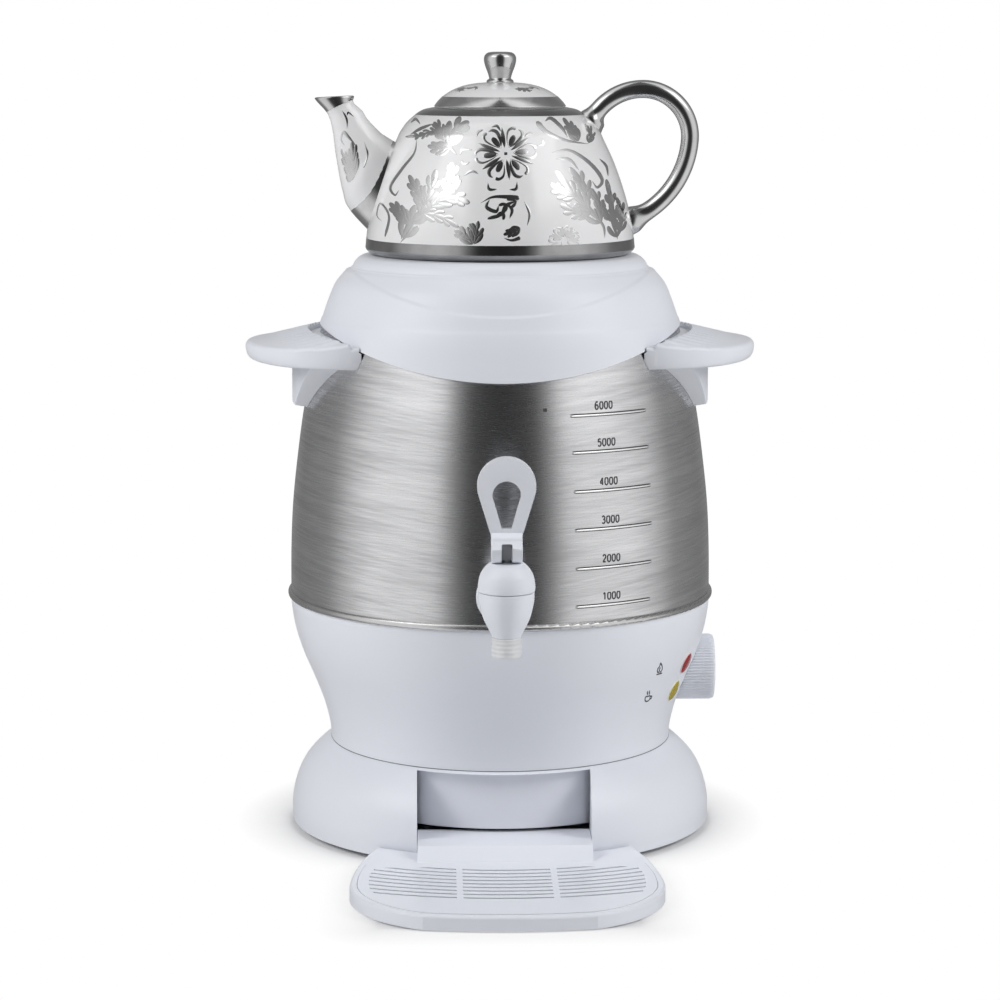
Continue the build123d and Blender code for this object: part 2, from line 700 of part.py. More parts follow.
def make_teapot_handle():
    lift = pot_z - 338.4

    def spot(p):
        return Vector(p[0], 0, p[1] + lift)
    rise = TangentArc(spot(handle_top), spot((52.0, 407.5)), tangent=(-1, 0, 0))
    turn = TangentArc(spot(handle_top), spot(handle_side), tangent=(1, 0, 0))
    drop = TangentArc(spot(handle_side), spot(handle_foot), tangent=turn % 1)
    toe = Line(drop @ 1, (drop @ 1) + (drop % 1) * 16)
    path = Wire([Edge.make_three_point_arc(rise @ 1, rise @ 0.5, rise @ 0), turn.edge(), drop.edge(), toe.edge()])
    start = Plane(origin=path @ 0, z_dir=path % 0, x_dir=(0, 1, 0))
    grip = sweep(start * Ellipse(handle_grip - 0.6, handle_grip), path=path)
    return (grip - pot_solid()).solids().sort_by(lambda s: -s.volume)[0]


def make_teapot_lid():
    rows = [(0, 116.8), (5.2, 116.8), (8.5, 115.6), (9.3, 112.4), (7.8, 106.2), (6.4, 101.6), (7.6, 100.4),
            (7.6, 99.4), (14.4, 98.8), (20.8, 97.6), (26.2, 95.7), (30.2, 93.6), (34.9, 89.9), (38.0, 86.2),
            (lid_rim_radius - 0.4, 85.2), (pot_mouth_radius - 0.3, 85.2), (pot_mouth_radius - 0.3, 79.5),
            (30.4, 79.5), (30.4, 87.5), (16.0, 94.6), (0, 95.2)]
    lid = lathe(shifted(rows, pot_z), [(1, 5), (7, 14)])
    return lid - rod_z(20, 0, pot_z + 85, pot_z + 110, 1.2)


def make_heating_plate():
    return rod_z(0, 0, plate_low_z, housing_top_z + 0.6, 78)


def make_heating_element():
    element = ring(50, 58, plate_low_z - 6, plate_low_z)
    element = fillet(element.edges().group_by(Axis.Z)[0], 2.5)
    return element - block(-8, 8, 30, 70, 100, 140)


def make_keep_warm_element():
    element = ring(33, 38, plate_low_z - 4.5, plate_low_z)
    element = fillet(element.edges().group_by(Axis.Z)[0], 1.6)
    return element - block(-6, 6, 20, 50, 100, 140)


def make_element_terminals():
    spots = [(-12, 53), (12, 53), (-9.5, 34.2), (9.5, 34.2)]
    depth = {53: 6.0, 34.2: 4.5}
    return [rod_z(x, y, plate_low_z - depth[y] - 12, plate_low_z - depth[y], 1.6) for x, y in spots]


def make_thermostat():
    body = rod_z(0, 0, plate_low_z - 11, plate_low_z, 12)
    for x in (-5, 5):
        body += block(x - 0.4, x + 0.4, -3, 3, plate_low_z - 18, plate_low_z - 10.9)
    return body


def make_thermal_fuse():
    fuse = block(-9, 9, 17, 23, plate_low_z - 5, plate_low_z)
    return fuse + rod_x(-12, 12, 20, plate_low_z - 3, 0.8)


def make_power_inlet():
    y = inlet_face_y
    inlet = block(-25, 25, y, y + 2, inlet_z - 12, inlet_z + 12)
    inlet = fillet(inlet.edges().filter_by(Axis.Y), 4)
    inlet += block(-13.6, 13.6, y - 20, y, inlet_z - 10.1, inlet_z + 10.1)
    inlet -= block(-11.8, 11.8, y - 15, y + 3, inlet_z - 8.2, inlet_z + 8.2)
    for x in (-20, 20):
        inlet -= rod_y(y - 2, y + 4, x, inlet_z, 1.7)
    for x, dz in inlet_pin_spots:
        inlet -= block(x - 2.05, x + 2.05, y - 21, y - 14, inlet_z + dz - 1.05, inlet_z + dz + 1.05)
    return inlet


def make_inlet_pins():
    y = inlet_face_y
    return [block(x - 2, x + 2, y - 25, y - 2, inlet_z + dz - 1, inlet_z + dz + 1) for x, dz in inlet_pin_spots]


def make_inlet_screws():
    y = inlet_face_y
    return [rod_y(y + 2, y + 3.6, x, inlet_z, 3.0) + rod_y(y - 7, y + 2.1, x, inlet_z, 1.6) for x in (-20, 20)]


def make_terminal_block():
    z = foot_height + 2.5
    box = block(-12, 12, 42, 56, z, z + 14)
    for x in (-8, 0, 8):
        box -= rod_z(x, 49, z + 8, z + 20, 2.0)
        box -= rod_y(40, 60, x, z + 6, 1.5)
    return box


def make_internal_wires():
    z = foot_height + 2.5 + 6
    y_pin = inlet_face_y - 25
    routes = [[(x, 56.3, z), (x, 74, z), (px, 84, inlet_z + dz), (px, y_pin - 0.3, inlet_z + dz)]
              for x, (px, dz) in zip((-8, 0, 8), ((-7, -2), (0, 2), (7, -2)))]
    routes.append([(-8, 41.7, z), (-8, 30, z), (-12, 53, 90), (-12, 53, plate_low_z - 18.3)])
    routes.append([(8, 41.7, z), (8, 30, z), (12, 53, 90), (12, 53, plate_low_z - 18.3)])
    wires = []
    for route in routes:
        path = FilletPolyline(*route, radius=5)
        start = Plane(origin=path @ 0, z_dir=path % 0)
        wires.append(sweep(start * Circle(1.2), path=path))
    return wires


def build_all():
    parts.update({
        "base_skirt": make_base_skirt(), "base_plate": make_base_plate(), "base_screws": make_base_screws(),
        "foot_ring": make_foot_ring(), "lower_housing": make_lower_housing(), "seam_bead": make_seam_bead(),
        "tank_shell": make_tank_shell(), "tank_floor": make_tank_floor(), "tank_rim": make_tank_rim(),
        "cover_gasket": make_cover_gasket(), "cover_shell": make_cover_shell(),
        "steam_plate": make_steam_plate(), "right_handle": make_handle(1), "left_handle": make_handle(-1),
        "handle_screws": make_handle_screws(), "tap_body": make_tap_body(), "tap_bonnet": make_tap_bonnet(),
        "tap_stem": make_tap_stem(), "tap_seat_cup": make_tap_seat_cup(), "tap_collar": make_tap_collar(),
        "tap_gasket": make_tap_gasket(), "tap_inner_gasket": make_tap_inner_gasket(),
        "tap_nut": make_tap_nut(), "tap_lever": make_tap_lever(), "lever_pin": make_lever_pin(),
        "control_knob": make_control_knob(), "switch_shaft": make_switch_shaft(),
        "rotary_switch": make_rotary_switch(), "red_lamp": make_lamp("red"), "amber_lamp": make_lamp("amber"),
        "lamp_holders": make_lamp_holders(), "drip_tray": make_drip_tray(), "drip_grille": make_drip_grille(),
        "teapot_body": make_teapot_body(), "teapot_spout": make_teapot_spout(),
        "teapot_handle": make_teapot_handle(), "teapot_lid": make_teapot_lid(),
        "heating_plate": make_heating_plate(), "heating_element": make_heating_element(),
        "keep_warm_element": make_keep_warm_element(), "element_terminals": make_element_terminals(),
        "thermostat": make_thermostat(), "thermal_fuse": make_thermal_fuse(),
        "power_inlet": make_power_inlet(), "inlet_pins": make_inlet_pins(), "inlet_screws": make_inlet_screws(),
        "terminal_block": make_terminal_block(), "internal_wires": make_internal_wires(),
    })


build_all()
os.makedirs("parts", exist_ok=True)
for name, shape in parts.items():
    if isinstance(shape, list):
        solids = [s for piece in shape for s in piece.solids()]
        shape = Compound(children=solids)
    export_step(shape, f"parts/{name}.step")
    print(name, len(shape.solids()), round(shape.volume / 1000, 2))
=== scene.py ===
import json
import math

import bmesh
import bpy
import numpy as np
from mathutils import Matrix, Vector


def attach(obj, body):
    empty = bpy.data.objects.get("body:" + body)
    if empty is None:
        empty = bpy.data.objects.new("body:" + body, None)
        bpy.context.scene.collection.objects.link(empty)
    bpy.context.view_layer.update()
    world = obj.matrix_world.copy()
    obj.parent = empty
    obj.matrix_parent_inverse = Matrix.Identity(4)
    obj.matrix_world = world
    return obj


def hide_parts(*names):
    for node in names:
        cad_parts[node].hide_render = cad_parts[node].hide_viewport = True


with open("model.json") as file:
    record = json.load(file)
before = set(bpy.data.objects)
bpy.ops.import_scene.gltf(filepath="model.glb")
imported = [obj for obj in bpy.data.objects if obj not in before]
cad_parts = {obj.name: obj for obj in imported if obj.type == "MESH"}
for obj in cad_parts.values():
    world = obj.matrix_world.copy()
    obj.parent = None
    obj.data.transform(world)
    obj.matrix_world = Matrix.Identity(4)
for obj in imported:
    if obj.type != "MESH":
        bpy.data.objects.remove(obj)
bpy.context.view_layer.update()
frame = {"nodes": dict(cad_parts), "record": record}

print("frame loaded")

# Metres, +Z up, -Y is the side with the tap. Angles round the body start at the front, towards +X.
# Outlines and sizes are in millimetres.
mm = 0.001


class Wire:
    # a shader socket that Python's operators work on
    def __init__(self, finish, socket):
        self.finish, self.socket = finish, socket

    def __add__(self, other):
        return self.finish.math("ADD", self, other)

    def __sub__(self, other):
        return self.finish.math("SUBTRACT", self, other)

    def __mul__(self, other):
        return self.finish.math("MULTIPLY", self, other)


class Finish:
    # a material, or the sky, built round one shader
    sockets = {"color": "Base Color", "coat": "Coat Weight", "coatRoughness": "Coat Roughness", "ior": "IOR",
               "glow": "Emission Color", "glowStrength": "Emission Strength",
               "through": "Transmission Weight", "brushTurn": "Anisotropic Rotation"}

    def __init__(self, name, family=bpy.data.materials, shader="Principled BSDF", **fixed):
        self.material = family.new(name)
        self.material.use_nodes = True
        self.tree = self.material.node_tree
        self.shader = self.tree.nodes[shader]
        for key, value in fixed.items():
            self.set(key, value)

    def set(self, key, value):
        self.feed(self.shader.inputs[self.sockets.get(key, key.capitalize())], value)

    def feed(self, socket, value):
        if isinstance(value, Wire):
            self.tree.links.new(value.socket, socket)
        else:
            socket.default_value = value

    def node(self, kind, settings, inputs, output=0):
        made = self.tree.nodes.new("ShaderNode" + kind)
        for key, value in settings.items():
            setattr(made, key, value)
        for key, value in inputs.items():
            self.feed(made.inputs[key], value)
        return Wire(self, made.outputs[output])

    def math(self, operation, *values, clamp=False):
        return self.node("Math", {"operation": operation, "use_clamp": clamp}, dict(enumerate(values)))

    def place(self, stretch=(1, 1, 1)):
        spot = self.node("TexCoord", {}, {}, "Object")
        return self.node("Mapping", {}, {"Vector": spot, "Scale": stretch})

    def axes(self, coordinate="Object"):
        spot = self.node("TexCoord", {}, {}, coordinate)
        parts = self.tree.nodes.new("ShaderNodeSeparateXYZ")
        self.feed(parts.inputs[0], spot)
        return [Wire(self, out) for out in parts.outputs]

    def noise(self, scale, detail=3.0, stretch=(1, 1, 1), rough=0.5):
        return self.node("TexNoise", {}, {"Vector": self.place(stretch), "Scale": scale, "Detail": detail,
                                          "Roughness": rough})

    def blend(self, factor, first, second):
        # a colour between two, by a factor from 0 to 1
        return self.node("Mix", {"data_type": "RGBA"}, {0: factor, 6: (*first, 1.0), 7: (*second, 1.0)}, 2)

    def span(self, value, low, high, outLow=0.0, outHigh=1.0):
        # a value carried from one range to another and held inside it
        return self.node("MapRange", {"clamp": True}, {0: value, 1: low, 2: high, 3: outLow, 4: outHigh})

    def bump(self, height, strength, distance):
        inputs = {"Strength": strength, "Distance": distance, "Height": height}
        self.set("normal", self.node("Bump", {}, inputs))

    def vary(self, tint, reach, dark, light, grain, rough, *bump):
        # colour from one noise, roughness from another, and a bump
        self.set("color", self.blend(self.span(tint, *reach), dark, light))
        self.set("roughness", self.span(grain, 0.3, 0.7, *rough))
        if bump:
            self.bump(*bump)
        return self


def scaled(color, share):
    return tuple(c * share for c in color)


def plasticFinish(name, color, rough, grain=900.0, coat=0.0, tone=0.03):
    made = Finish(name, coat=coat, coatRoughness=0.2)
    cloud, fine = made.noise(14.0, 4.0), made.noise(grain, 2.0)
    return made.vary(cloud, (0.35, 0.65), scaled(color, 1 - tone), color, fine, (rough * 0.88, rough * 1.12),
                     fine, 0.12, 0.00008)


def steelFinish(name, color, rough, stretch, tone=0.10):
    # brushed along the way that the stretch leaves long
    made = Finish(name, metallic=1.0)
    strokes = made.noise(1.0, 5.0, stretch, 0.62)
    fine = made.noise(1.0, 2.0, scaled(stretch, 2.7), 0.5)
    wave = made.noise(9.0, 2.0)
    mark = made.span(strokes * 0.65 + fine * 0.35, 0.36, 0.64)
    made.set("color", made.blend(mark, scaled(color, 1 - tone), color))
    made.set("roughness", made.span(mark * 0.7 + wave * 0.3, 0.2, 0.9, rough * 0.82, rough * 1.2))
    made.bump(mark, 0.16, 0.00006)
    return made


def rubberFinish(name, color, rough):
    made = Finish(name)
    fine = made.noise(420.0, 5.0)
    return made.vary(fine, (0.3, 0.7), scaled(color, 0.85), color, fine, (rough * 0.9, rough * 1.1),
                     fine, 0.3, 0.0001)


def lensFinish(name, color, glow):
    # a moulded lens with a fine grid of prisms behind its face
    made = Finish(name, coat=0.25, coatRoughness=0.1, glowStrength=0.1)
    grid = made.node("TexVoronoi", {}, {"Vector": made.place(), "Scale": 900.0})
    made.set("color", made.blend(made.span(grid, 0.1, 0.7), color, scaled(color, 0.6)))
    made.set("glow", made.blend(made.span(grid, 0.0, 0.8), glow, scaled(glow, 0.5)))
    made.set("roughness", made.span(grid, 0.0, 0.8, 0.12, 0.25))
    return made


def tankSteelFinish():
    # long brush strokes round the tank, short crossing ones, soft patches and streaks that climb at the sides
    made = Finish("brushed tank steel", metallic=1.0, anisotropic=0.7, brushTurn=0.25)
    x, y, z = made.axes()
    long = made.noise(1.0, 4.0, (16, 16, 1500), 0.6)
    short = made.noise(1.0, 3.0, (95, 95, 2600), 0.55)
    drift = made.noise(1.0, 2.0, (24, 24, 60), 0.5)
    spot = made.node("CombineXYZ", {}, {0: x * 9.0, 1: y * 9.0,
                                        2: (z - made.math("ABSOLUTE", x) * 0.16) * 420.0})
    streak = made.node("TexNoise", {}, {"Vector": spot, "Scale": 1.0, "Detail": 3.0, "Roughness": 0.65})
    mark = made.span(long * 0.36 + short * 0.24 + streak * 0.40, 0.40, 0.60)
    patch = made.span(drift, 0.35, 0.65)
    tone = made.span(mark * 0.75 + patch * 0.25, 0.0, 1.0)
    made.set("color", made.blend(tone, (0.48, 0.48, 0.485), (0.70, 0.70, 0.705)))
    made.set("roughness", made.span(tone, 0.0, 1.0, 0.34, 0.22))
    made.bump(mark, 0.2, 0.00005)
    return made


def collarFinish():
    # frosted, cloudy plastic that lets some light through
    made = Finish("clear collar", through=0.3, ior=1.46, coat=0.3)
    cloud = made.noise(160.0, 3.0)
    return made.vary(cloud, (0.3, 0.7), (0.84, 0.85, 0.87), (0.93, 0.94, 0.95), cloud, (0.28, 0.42))


def porcelainFinish():
    # white body under a clear glaze, with faint waves and pores
    made = Finish("glazed porcelain", coat=1.0, coatRoughness=0.03, ior=1.5)
    wave, pore = made.noise(18.0, 2.0), made.noise(700.0, 2.0)
    return made.vary(wave, (0.3, 0.7), (0.80, 0.80, 0.81), (0.84, 0.84, 0.845), pore, (0.10, 0.18),
                     wave, 0.10, 0.0004)


def silverFinish(name, dark, light):
    # silver lustre fired on the glaze, thinner and darker in places
    made = Finish(name, metallic=1.0)
    cloud, fine = made.noise(60.0, 4.0), made.noise(900.0, 2.0)
    return made.vary(cloud, (0.35, 0.65), (dark,) * 3, (light,) * 3, fine, (0.10, 0.17), cloud, 0.06, 0.0003)


slotFinish = {
    "white_plastic": plasticFinish("white plastic", (0.80, 0.822, 0.88), 0.34, coat=0.15, tone=0.012),
    "plain_steel": steelFinish("rolled steel", (0.62, 0.615, 0.61), 0.26, (60, 60, 900)),
    "grey_plastic": plasticFinish("grey plastic", (0.42, 0.43, 0.44), 0.5),
    "silicone": rubberFinish("silicone", (0.70, 0.69, 0.66), 0.6),
    "foot_rubber": rubberFinish("foot rubber", (0.02, 0.02, 0.02), 0.75),
    "red_lens": lensFinish("red lens", (0.30, 0.006, 0.012), (0.6, 0.02, 0.03)),
    "amber_lens": lensFinish("amber lens", (0.42, 0.34, 0.01), (0.7, 0.5, 0.04)),
    "screw_steel": steelFinish("screw steel", (0.6, 0.6, 0.6), 0.22, (700, 700, 700)),
    "plate_aluminium": steelFinish("plate aluminium", (0.72, 0.72, 0.73), 0.4, (500, 60, 500)),
    "element_steel": steelFinish("element sheath", (0.36, 0.33, 0.29), 0.45, (200, 200, 200), 0.3),
    "black_plastic": plasticFinish("black plastic", (0.02, 0.02, 0.02), 0.42),
    "fuse_ceramic": plasticFinish("fuse ceramic", (0.74, 0.71, 0.64), 0.8, 500.0),
    "pin_metal": steelFinish("pin metal", (0.75, 0.6, 0.32), 0.25, (900, 90, 900)),
    "holder_plastic": plasticFinish("holder plastic", (0.72, 0.72, 0.68), 0.55),
    "wire_cover": rubberFinish("wire cover", (0.05, 0.05, 0.22), 0.5),
    "tank_steel": tankSteelFinish(),
    "clear_collar": collarFinish(),
    "porcelain": porcelainFinish(),
    "silvered_porcelain": silverFinish("silver lustre", 0.50, 0.60)}
# a darker copy of the silver lustre for the bands, as painted shade
bandSilverPaintedShade = silverFinish("silver lustre of the bands, darkened as painted shade", 0.30, 0.37)
lampRims = {"red": plasticFinish("red rim", (0.90, 0.66, 0.66), 0.25, 700.0, 0.5),
            "amber": plasticFinish("amber rim", (0.88, 0.86, 0.58), 0.25, 700.0, 0.5)}
# dark print for the level numbers, and painted shade for the dark lines beside the level ridges
printAndPaintedShade = plasticFinish("dark print and painted shade", (0.055, 0.055, 0.06), 0.6, 1400.0)
# painted shade for the joint between the housing and the skirt
seamPaintedShade = plasticFinish("joint shade", (0.22, 0.23, 0.25), 0.7, 900.0)
blackInk = plasticFinish("black ink", (0.03, 0.03, 0.04), 0.5, 1400.0)
# a steel lighter than the tank's, as painted highlight on the pressed level ridges
ridgeHighlightSteel = steelFinish("pressed steel ridge, lightened as painted highlight", (0.86, 0.86, 0.86), 0.22, (60, 60, 900))

for part in frame["record"]["subparts"]:
    node = frame["nodes"][part["node"]]
    for place in range(len(node.data.materials)):
        node.data.materials[place] = slotFinish[part["material_slot"]].material
print("finishes assigned")


def shade(mesh, sharpAngle):
    mesh.polygons.foreach_set("use_smooth", [True] * len(mesh.polygons))
    mesh.set_sharp_from_angle(angle=math.radians(sharpAngle))


def meshPiece(name, points, faces, smooth=True, closed=True):
    # one object in place, its doubles merged and its faces turned outwards
    mesh = bpy.data.meshes.new(name)
    mesh.from_pydata(np.asarray(points, float).reshape(-1, 3), [], np.asarray(faces).tolist())
    work = bmesh.new()
    work.from_mesh(mesh)
    bmesh.ops.remove_doubles(work, verts=work.verts, dist=0.000002)
    if closed:
        bmesh.ops.recalc_face_normals(work, faces=work.faces)
        if work.calc_volume(signed=True) < 0:
            bmesh.ops.reverse_faces(work, faces=work.faces)
    work.to_mesh(mesh)
    work.free()
    if smooth:
        shade(mesh, 38)
    return linked(name, mesh)


def linked(name, data):
    made = bpy.data.objects.new(name, data)
    bpy.context.collection.objects.link(made)
    return made


def dress(piece, body, slot, *nodes, finish=None):
    # the piece takes its slot's finish or another, moves with a body and may stand for CAD nodes
    piece.data.materials.append((finish or slotFinish[slot]).material)
    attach(piece, body)
    if nodes:
        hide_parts(*nodes)


def gridFaces(rows, columns, aroundRows=False, aroundColumns=False):
    # quads between neighbouring points of a grid, wrapping where it is closed
    i, j = np.meshgrid(np.arange(rows if aroundRows else rows - 1),
                       np.arange(columns if aroundColumns else columns - 1), indexing="ij")
    here, below = i * columns, ((i + 1) % rows) * columns
    right = (j + 1) % columns
    return np.stack([here + j, below + j, below + right, here + right], -1).reshape(-1, 4)


def gridPiece(name, points, aroundRows=False, aroundColumns=False, closed=True):
    faces = gridFaces(*points.shape[:2], aroundRows, aroundColumns)
    return meshPiece(name, points, faces, closed=closed)


def capped(name, rows):
    # closed loops one after another, with each end drawn in to its middle
    ends = [np.tile(rows[k].mean(0), (len(rows[k]), 1)) for k in (0, -1)]
    return gridPiece(name, np.array([ends[0], *rows, ends[1]]) * mm, False, True)


def softCurve(knots, count):
    # Catmull-Rom through the knots: a cubic whose slope at a knot is half the step between its neighbours
    p = np.asarray(knots, float)
    p = np.vstack([2 * p[0] - p[1], p, 2 * p[-1] - p[-2]])
    t = np.linspace(0, len(p) - 3, count)
    k = np.minimum(t.astype(int), len(p) - 4)
    f = (t - k)[:, None]
    a, b, c, d = p[k], p[k + 1], p[k + 2], p[k + 3]
    square, cube = 2 * a - 5 * b + 4 * c - d, 3 * b - a - 3 * c + d
    return 0.5 * (2 * b + (c - a) * f + square * f ** 2 + cube * f ** 3)


def waysOf(line):
    # the unit direction at each point of a line
    way = np.gradient(line, axis=0)
    return way / np.maximum(np.linalg.norm(way, axis=1, keepdims=True), 1e-9)


def normalsOf(line):
    way = waysOf(line)
    return np.stack([-way[:, 1], way[:, 0]], -1)


def softStep(value):
    held = np.clip(value, 0, 1)
    return held * held * (3 - 2 * held)


def fullTurn(count):
    return np.linspace(0, 2 * math.pi, count, endpoint=False)


def roundPoints(r, angle, z):
    # x = r sin a, y = -r cos a
    return np.stack(np.broadcast_arrays(r * np.sin(angle), -r * np.cos(angle), z), -1)


def turned(name, profile, count=192):
    # (radius, height) carried round the axis
    r, z = np.asarray(profile, float).T * mm
    return gridPiece(name, roundPoints(r, fullTurn(count)[:, None], z), True, True)


def tubePiece(name, rows):
    # closed loops whose last one joins the first
    return gridPiece(name, rows * mm, True, True)


def turnedSolid(name, curve, count=256):
    # a curve going up, closed to the axis at both ends
    return turned(name, np.vstack([curve, [(0, curve[-1, 1]), (0, curve[0, 1])]]), count)


def radiusAt(outline, z):
    # the smooth outline's radius at a height
    fine = softCurve(outline, 240)
    return np.interp(z, fine[:, 1], fine[:, 0])


def onBody(outline, angle, z, lift=0.0):
    # point on a round body: angle from the front towards +X, height, and a lift off the surface
    return roundPoints(radiusAt(outline, z) + lift, angle, z) * mm


def wrappedOn(outline):
    # the same for a length round the body instead of the angle
    return lambda u, v, lift: onBody(outline, u / radiusAt(outline, v), v, lift)


def wallProfile(outline, wall, count):
    # the outline going up and the same moved inwards coming down
    outer = softCurve(outline, count)
    return np.vstack([outer, outer[::-1] - np.array([wall, 0])])


def ringPiece(name, inner, outer, low, high):
    return turned(name, [(outer, low), (outer, high), (inner, high), (inner, low)], 256)


def boxPiece(name, low, high):
    (x0, y0, z0), (x1, y1, z1) = low, high
    points = [(x, y, z) for x in (x0, x1) for y in (y0, y1) for z in (z0, z1)]
    faces = [(0, 1, 3, 2), (4, 6, 7, 5), (0, 4, 5, 1), (2, 3, 7, 6), (0, 2, 6, 4), (1, 5, 7, 3)]
    return meshPiece(name, np.array(points) * mm, faces, False)


def barPiece(name, start, end, radius, count=64):
    # round bar between two points: two capped rings
    side = (Vector(end) - Vector(start)).normalized()
    across = side.orthogonal().normalized()
    a, b = np.array(Vector(start)), np.array(Vector(end))
    turn = fullTurn(count)
    ring = np.outer(np.cos(turn), across) * radius + np.outer(np.sin(turn), side.cross(across)) * radius
    rows = [a + 0 * ring, a + ring, b + ring, b + 0 * ring]
    return gridPiece(name, np.array(rows) * mm, False, True)


def bake(piece):
    # what the piece's modifier makes is kept as its mesh
    bpy.context.view_layer.update()
    seen = piece.evaluated_get(bpy.context.evaluated_depsgraph_get())
    mesh = bpy.data.meshes.new_from_object(seen)
    piece.modifiers.clear()
    piece.data = mesh
    shade(mesh, 32)


def carve(piece, cutter, operation="DIFFERENCE"):
    # one solid taken from another, joined to it or kept where they meet
    step = piece.modifiers.new("carve", "BOOLEAN")
    step.operation, step.solver, step.object = operation, "EXACT", cutter
    bake(piece)
    bpy.data.objects.remove(cutter)


def rounded(piece, width, segments=4, angle=30):
    step = piece.modifiers.new("round", "BEVEL")
    step.width, step.segments, step.use_clamp_overlap = width * mm, segments, True
    step.limit_method, step.angle_limit = "ANGLE", math.radians(angle)
    bake(piece)


print("tools ready")


tank = {"outline": [(124.2, 140.6), (123.9, 165.6), (122.8, 189.6), (120.4, 213.6), (115.9, 246.6),
                    (110.2, 274.1), (104.9, 297.0)], "wall": 0.8}


def makeTank():
    wall = turned("tankWall", wallProfile(tank["outline"], tank["wall"], 72), 256)
    dress(wall, "samovar", "tank_steel", "tank_shell")


housing = {"outline": [(101, 51), (101.8, 60), (105.3, 74), (111, 89), (117.3, 104), (121.7, 118),
                       (123.9, 131), (124, 136.6)],
           "wall": 3.0, "knobZ": 90.9, "wellRadius": 20.4, "wellFloorX": 103.9, "shaftRadius": 5.2,
           "inletZ": 85.0, "inletHalf": (30.0, 20.0), "inletBackY": 88.0, "inletFaceY": 118.4,
           "inletHole": (13.9, 10.4), "screwX": 20.0, "screwRadius": 1.7}


def makeHousing():
    # the round wall, the knob's well at the right and the box of the inlet at the back
    size, wall = housing, housing["wall"]
    body = turned("housingShell", wallProfile(size["outline"], wall, 64), 256)
    z, radius, floorX = size["knobZ"], size["wellRadius"], size["wellFloorX"]
    lining = barPiece("wellLining", (floorX - 2.5, 0, z), (130, 0, z), radius + 2.5, 96)
    room = softCurve(size["outline"], 64) - np.array([0.4, 0])
    carve(lining, turnedSolid("housingRoom", room), "INTERSECT")
    carve(body, lining, "UNION")
    carve(body, barPiece("wellCut", (floorX, 0, z), (140, 0, z), radius, 96))
    carve(body, barPiece("shaftCut", (80, 0, z), (110, 0, z), size["shaftRadius"], 48))
    halfX, halfZ = size["inletHalf"]
    z, faceY = size["inletZ"], size["inletFaceY"]

    def podBox(name, halfX, halfZ, back, front):
        return boxPiece(name, (-halfX, back, z - halfZ), (halfX, front, z + halfZ))

    pod = podBox("pod", halfX, halfZ, size["inletBackY"], faceY)
    rounded(pod, 3.0)
    carve(body, pod, "UNION")
    carve(body, podBox("podSpace", halfX - wall, halfZ - wall, 80, faceY - wall))
    carve(body, podBox("podHole", *size["inletHole"], 80, 130))
    for x in (-size["screwX"], size["screwX"]):
        carve(body, barPiece("podScrew", (x, 100, z), (x, 130, z), size["screwRadius"], 24))
    dress(body, "samovar", "white_plastic", "lower_housing")


cover = {"rimZ": 273.9, "rimArc": 240.0, "creaseZ": 309.5, "creaseArc": 191.0, "creaseDrop": 0.9, "lip": 1.6,
         "crown": [(105.4, 299.8), (104, 303), (100.7, 312.3), (96.6, 321.6), (90.4, 329.2)],
         "shoulder": [(87.6, 330.4), (87.2, 331), (86.6, 331.4), (84.6, 334.8), (81.2, 337.4), (77.2, 338.3)],
         "wall": 1.3, "seatUnderZ": 335.3, "innerTopZ": 326.0, "vents": 8, "ventCircle": 42.0,
         "ventRadius": 5.0, "middleVent": 7.0}
scallopHeights = (266.0, 274.0, 284.0, 293.0)


def arcHeight(lowZ, radius, x):
    return lowZ + radius - np.sqrt(radius ** 2 - x ** 2)


def coverSkirt(gap):
    # the part of the cover's outline that follows the tank's wall
    return [(radiusAt(tank["outline"], z) + gap, z) for z in scallopHeights]


def makeCover():
    # each turn angle has its own profile: it starts on the scalloped rim, z = rim + arc - sqrt(arc^2 - x^2),
    # rises over the lip, and its upper part steps in above the crease arc
    size, wall = cover, cover["wall"]
    outline = softCurve(coverSkirt(size["lip"]) + size["crown"], 400)

    def radiusOf(z):
        return np.interp(z, outline[:, 1], outline[:, 0])

    angle = fullTurn(288)[:, None]
    z = np.full_like(angle, size["rimZ"])
    for _ in range(12):
        z = arcHeight(size["rimZ"], size["rimArc"], radiusOf(z) * np.sin(angle))
    heights = z + (size["crown"][-1][1] - z) * np.linspace(0, 1, 90)[None, :]
    radii = radiusOf(heights)
    crease = arcHeight(size["creaseZ"], size["creaseArc"], radii * np.sin(angle))
    outerR = radii - size["creaseDrop"] * softStep((heights - crease) / 1.6 + 0.5)
    shoulder = softCurve(size["shoulder"], 26)
    seat = np.stack([np.linspace(75, 0, 14), np.full(14, shoulder[-1, 1])], -1)
    ceiling = np.stack([np.linspace(0, 77.2, 12), np.full(12, size["seatUnderZ"])], -1)
    rim = np.stack([np.linspace(84.6, 89.0, 4), np.linspace(331.0, 327.5, 4)], -1)
    middle = np.vstack([shoulder, seat, ceiling, rim])[None] + 0 * angle[..., None]
    backZ = np.minimum(heights[:, ::-1], size["innerTopZ"])
    backR = np.minimum(radii[:, ::-1] - wall, radiusOf(backZ) - wall)
    r = np.concatenate([outerR, middle[..., 0], backR], 1)
    z = np.concatenate([heights, middle[..., 1], backZ], 1)
    piece = tubePiece("coverShell", roundPoints(r, angle, z))
    for turn in fullTurn(size["vents"]):
        spot = (size["ventCircle"] * math.cos(turn), size["ventCircle"] * math.sin(turn))
        carve(piece, barPiece("vent", (*spot, 330), (*spot, 342), size["ventRadius"], 40))
    carve(piece, barPiece("vent", (0, 0, 330), (0, 0, 342), size["middleVent"], 48))
    dress(piece, "cover", "white_plastic", "cover_shell")


makeTank()
makeHousing()
makeCover()
print("tank, housing and cover made")


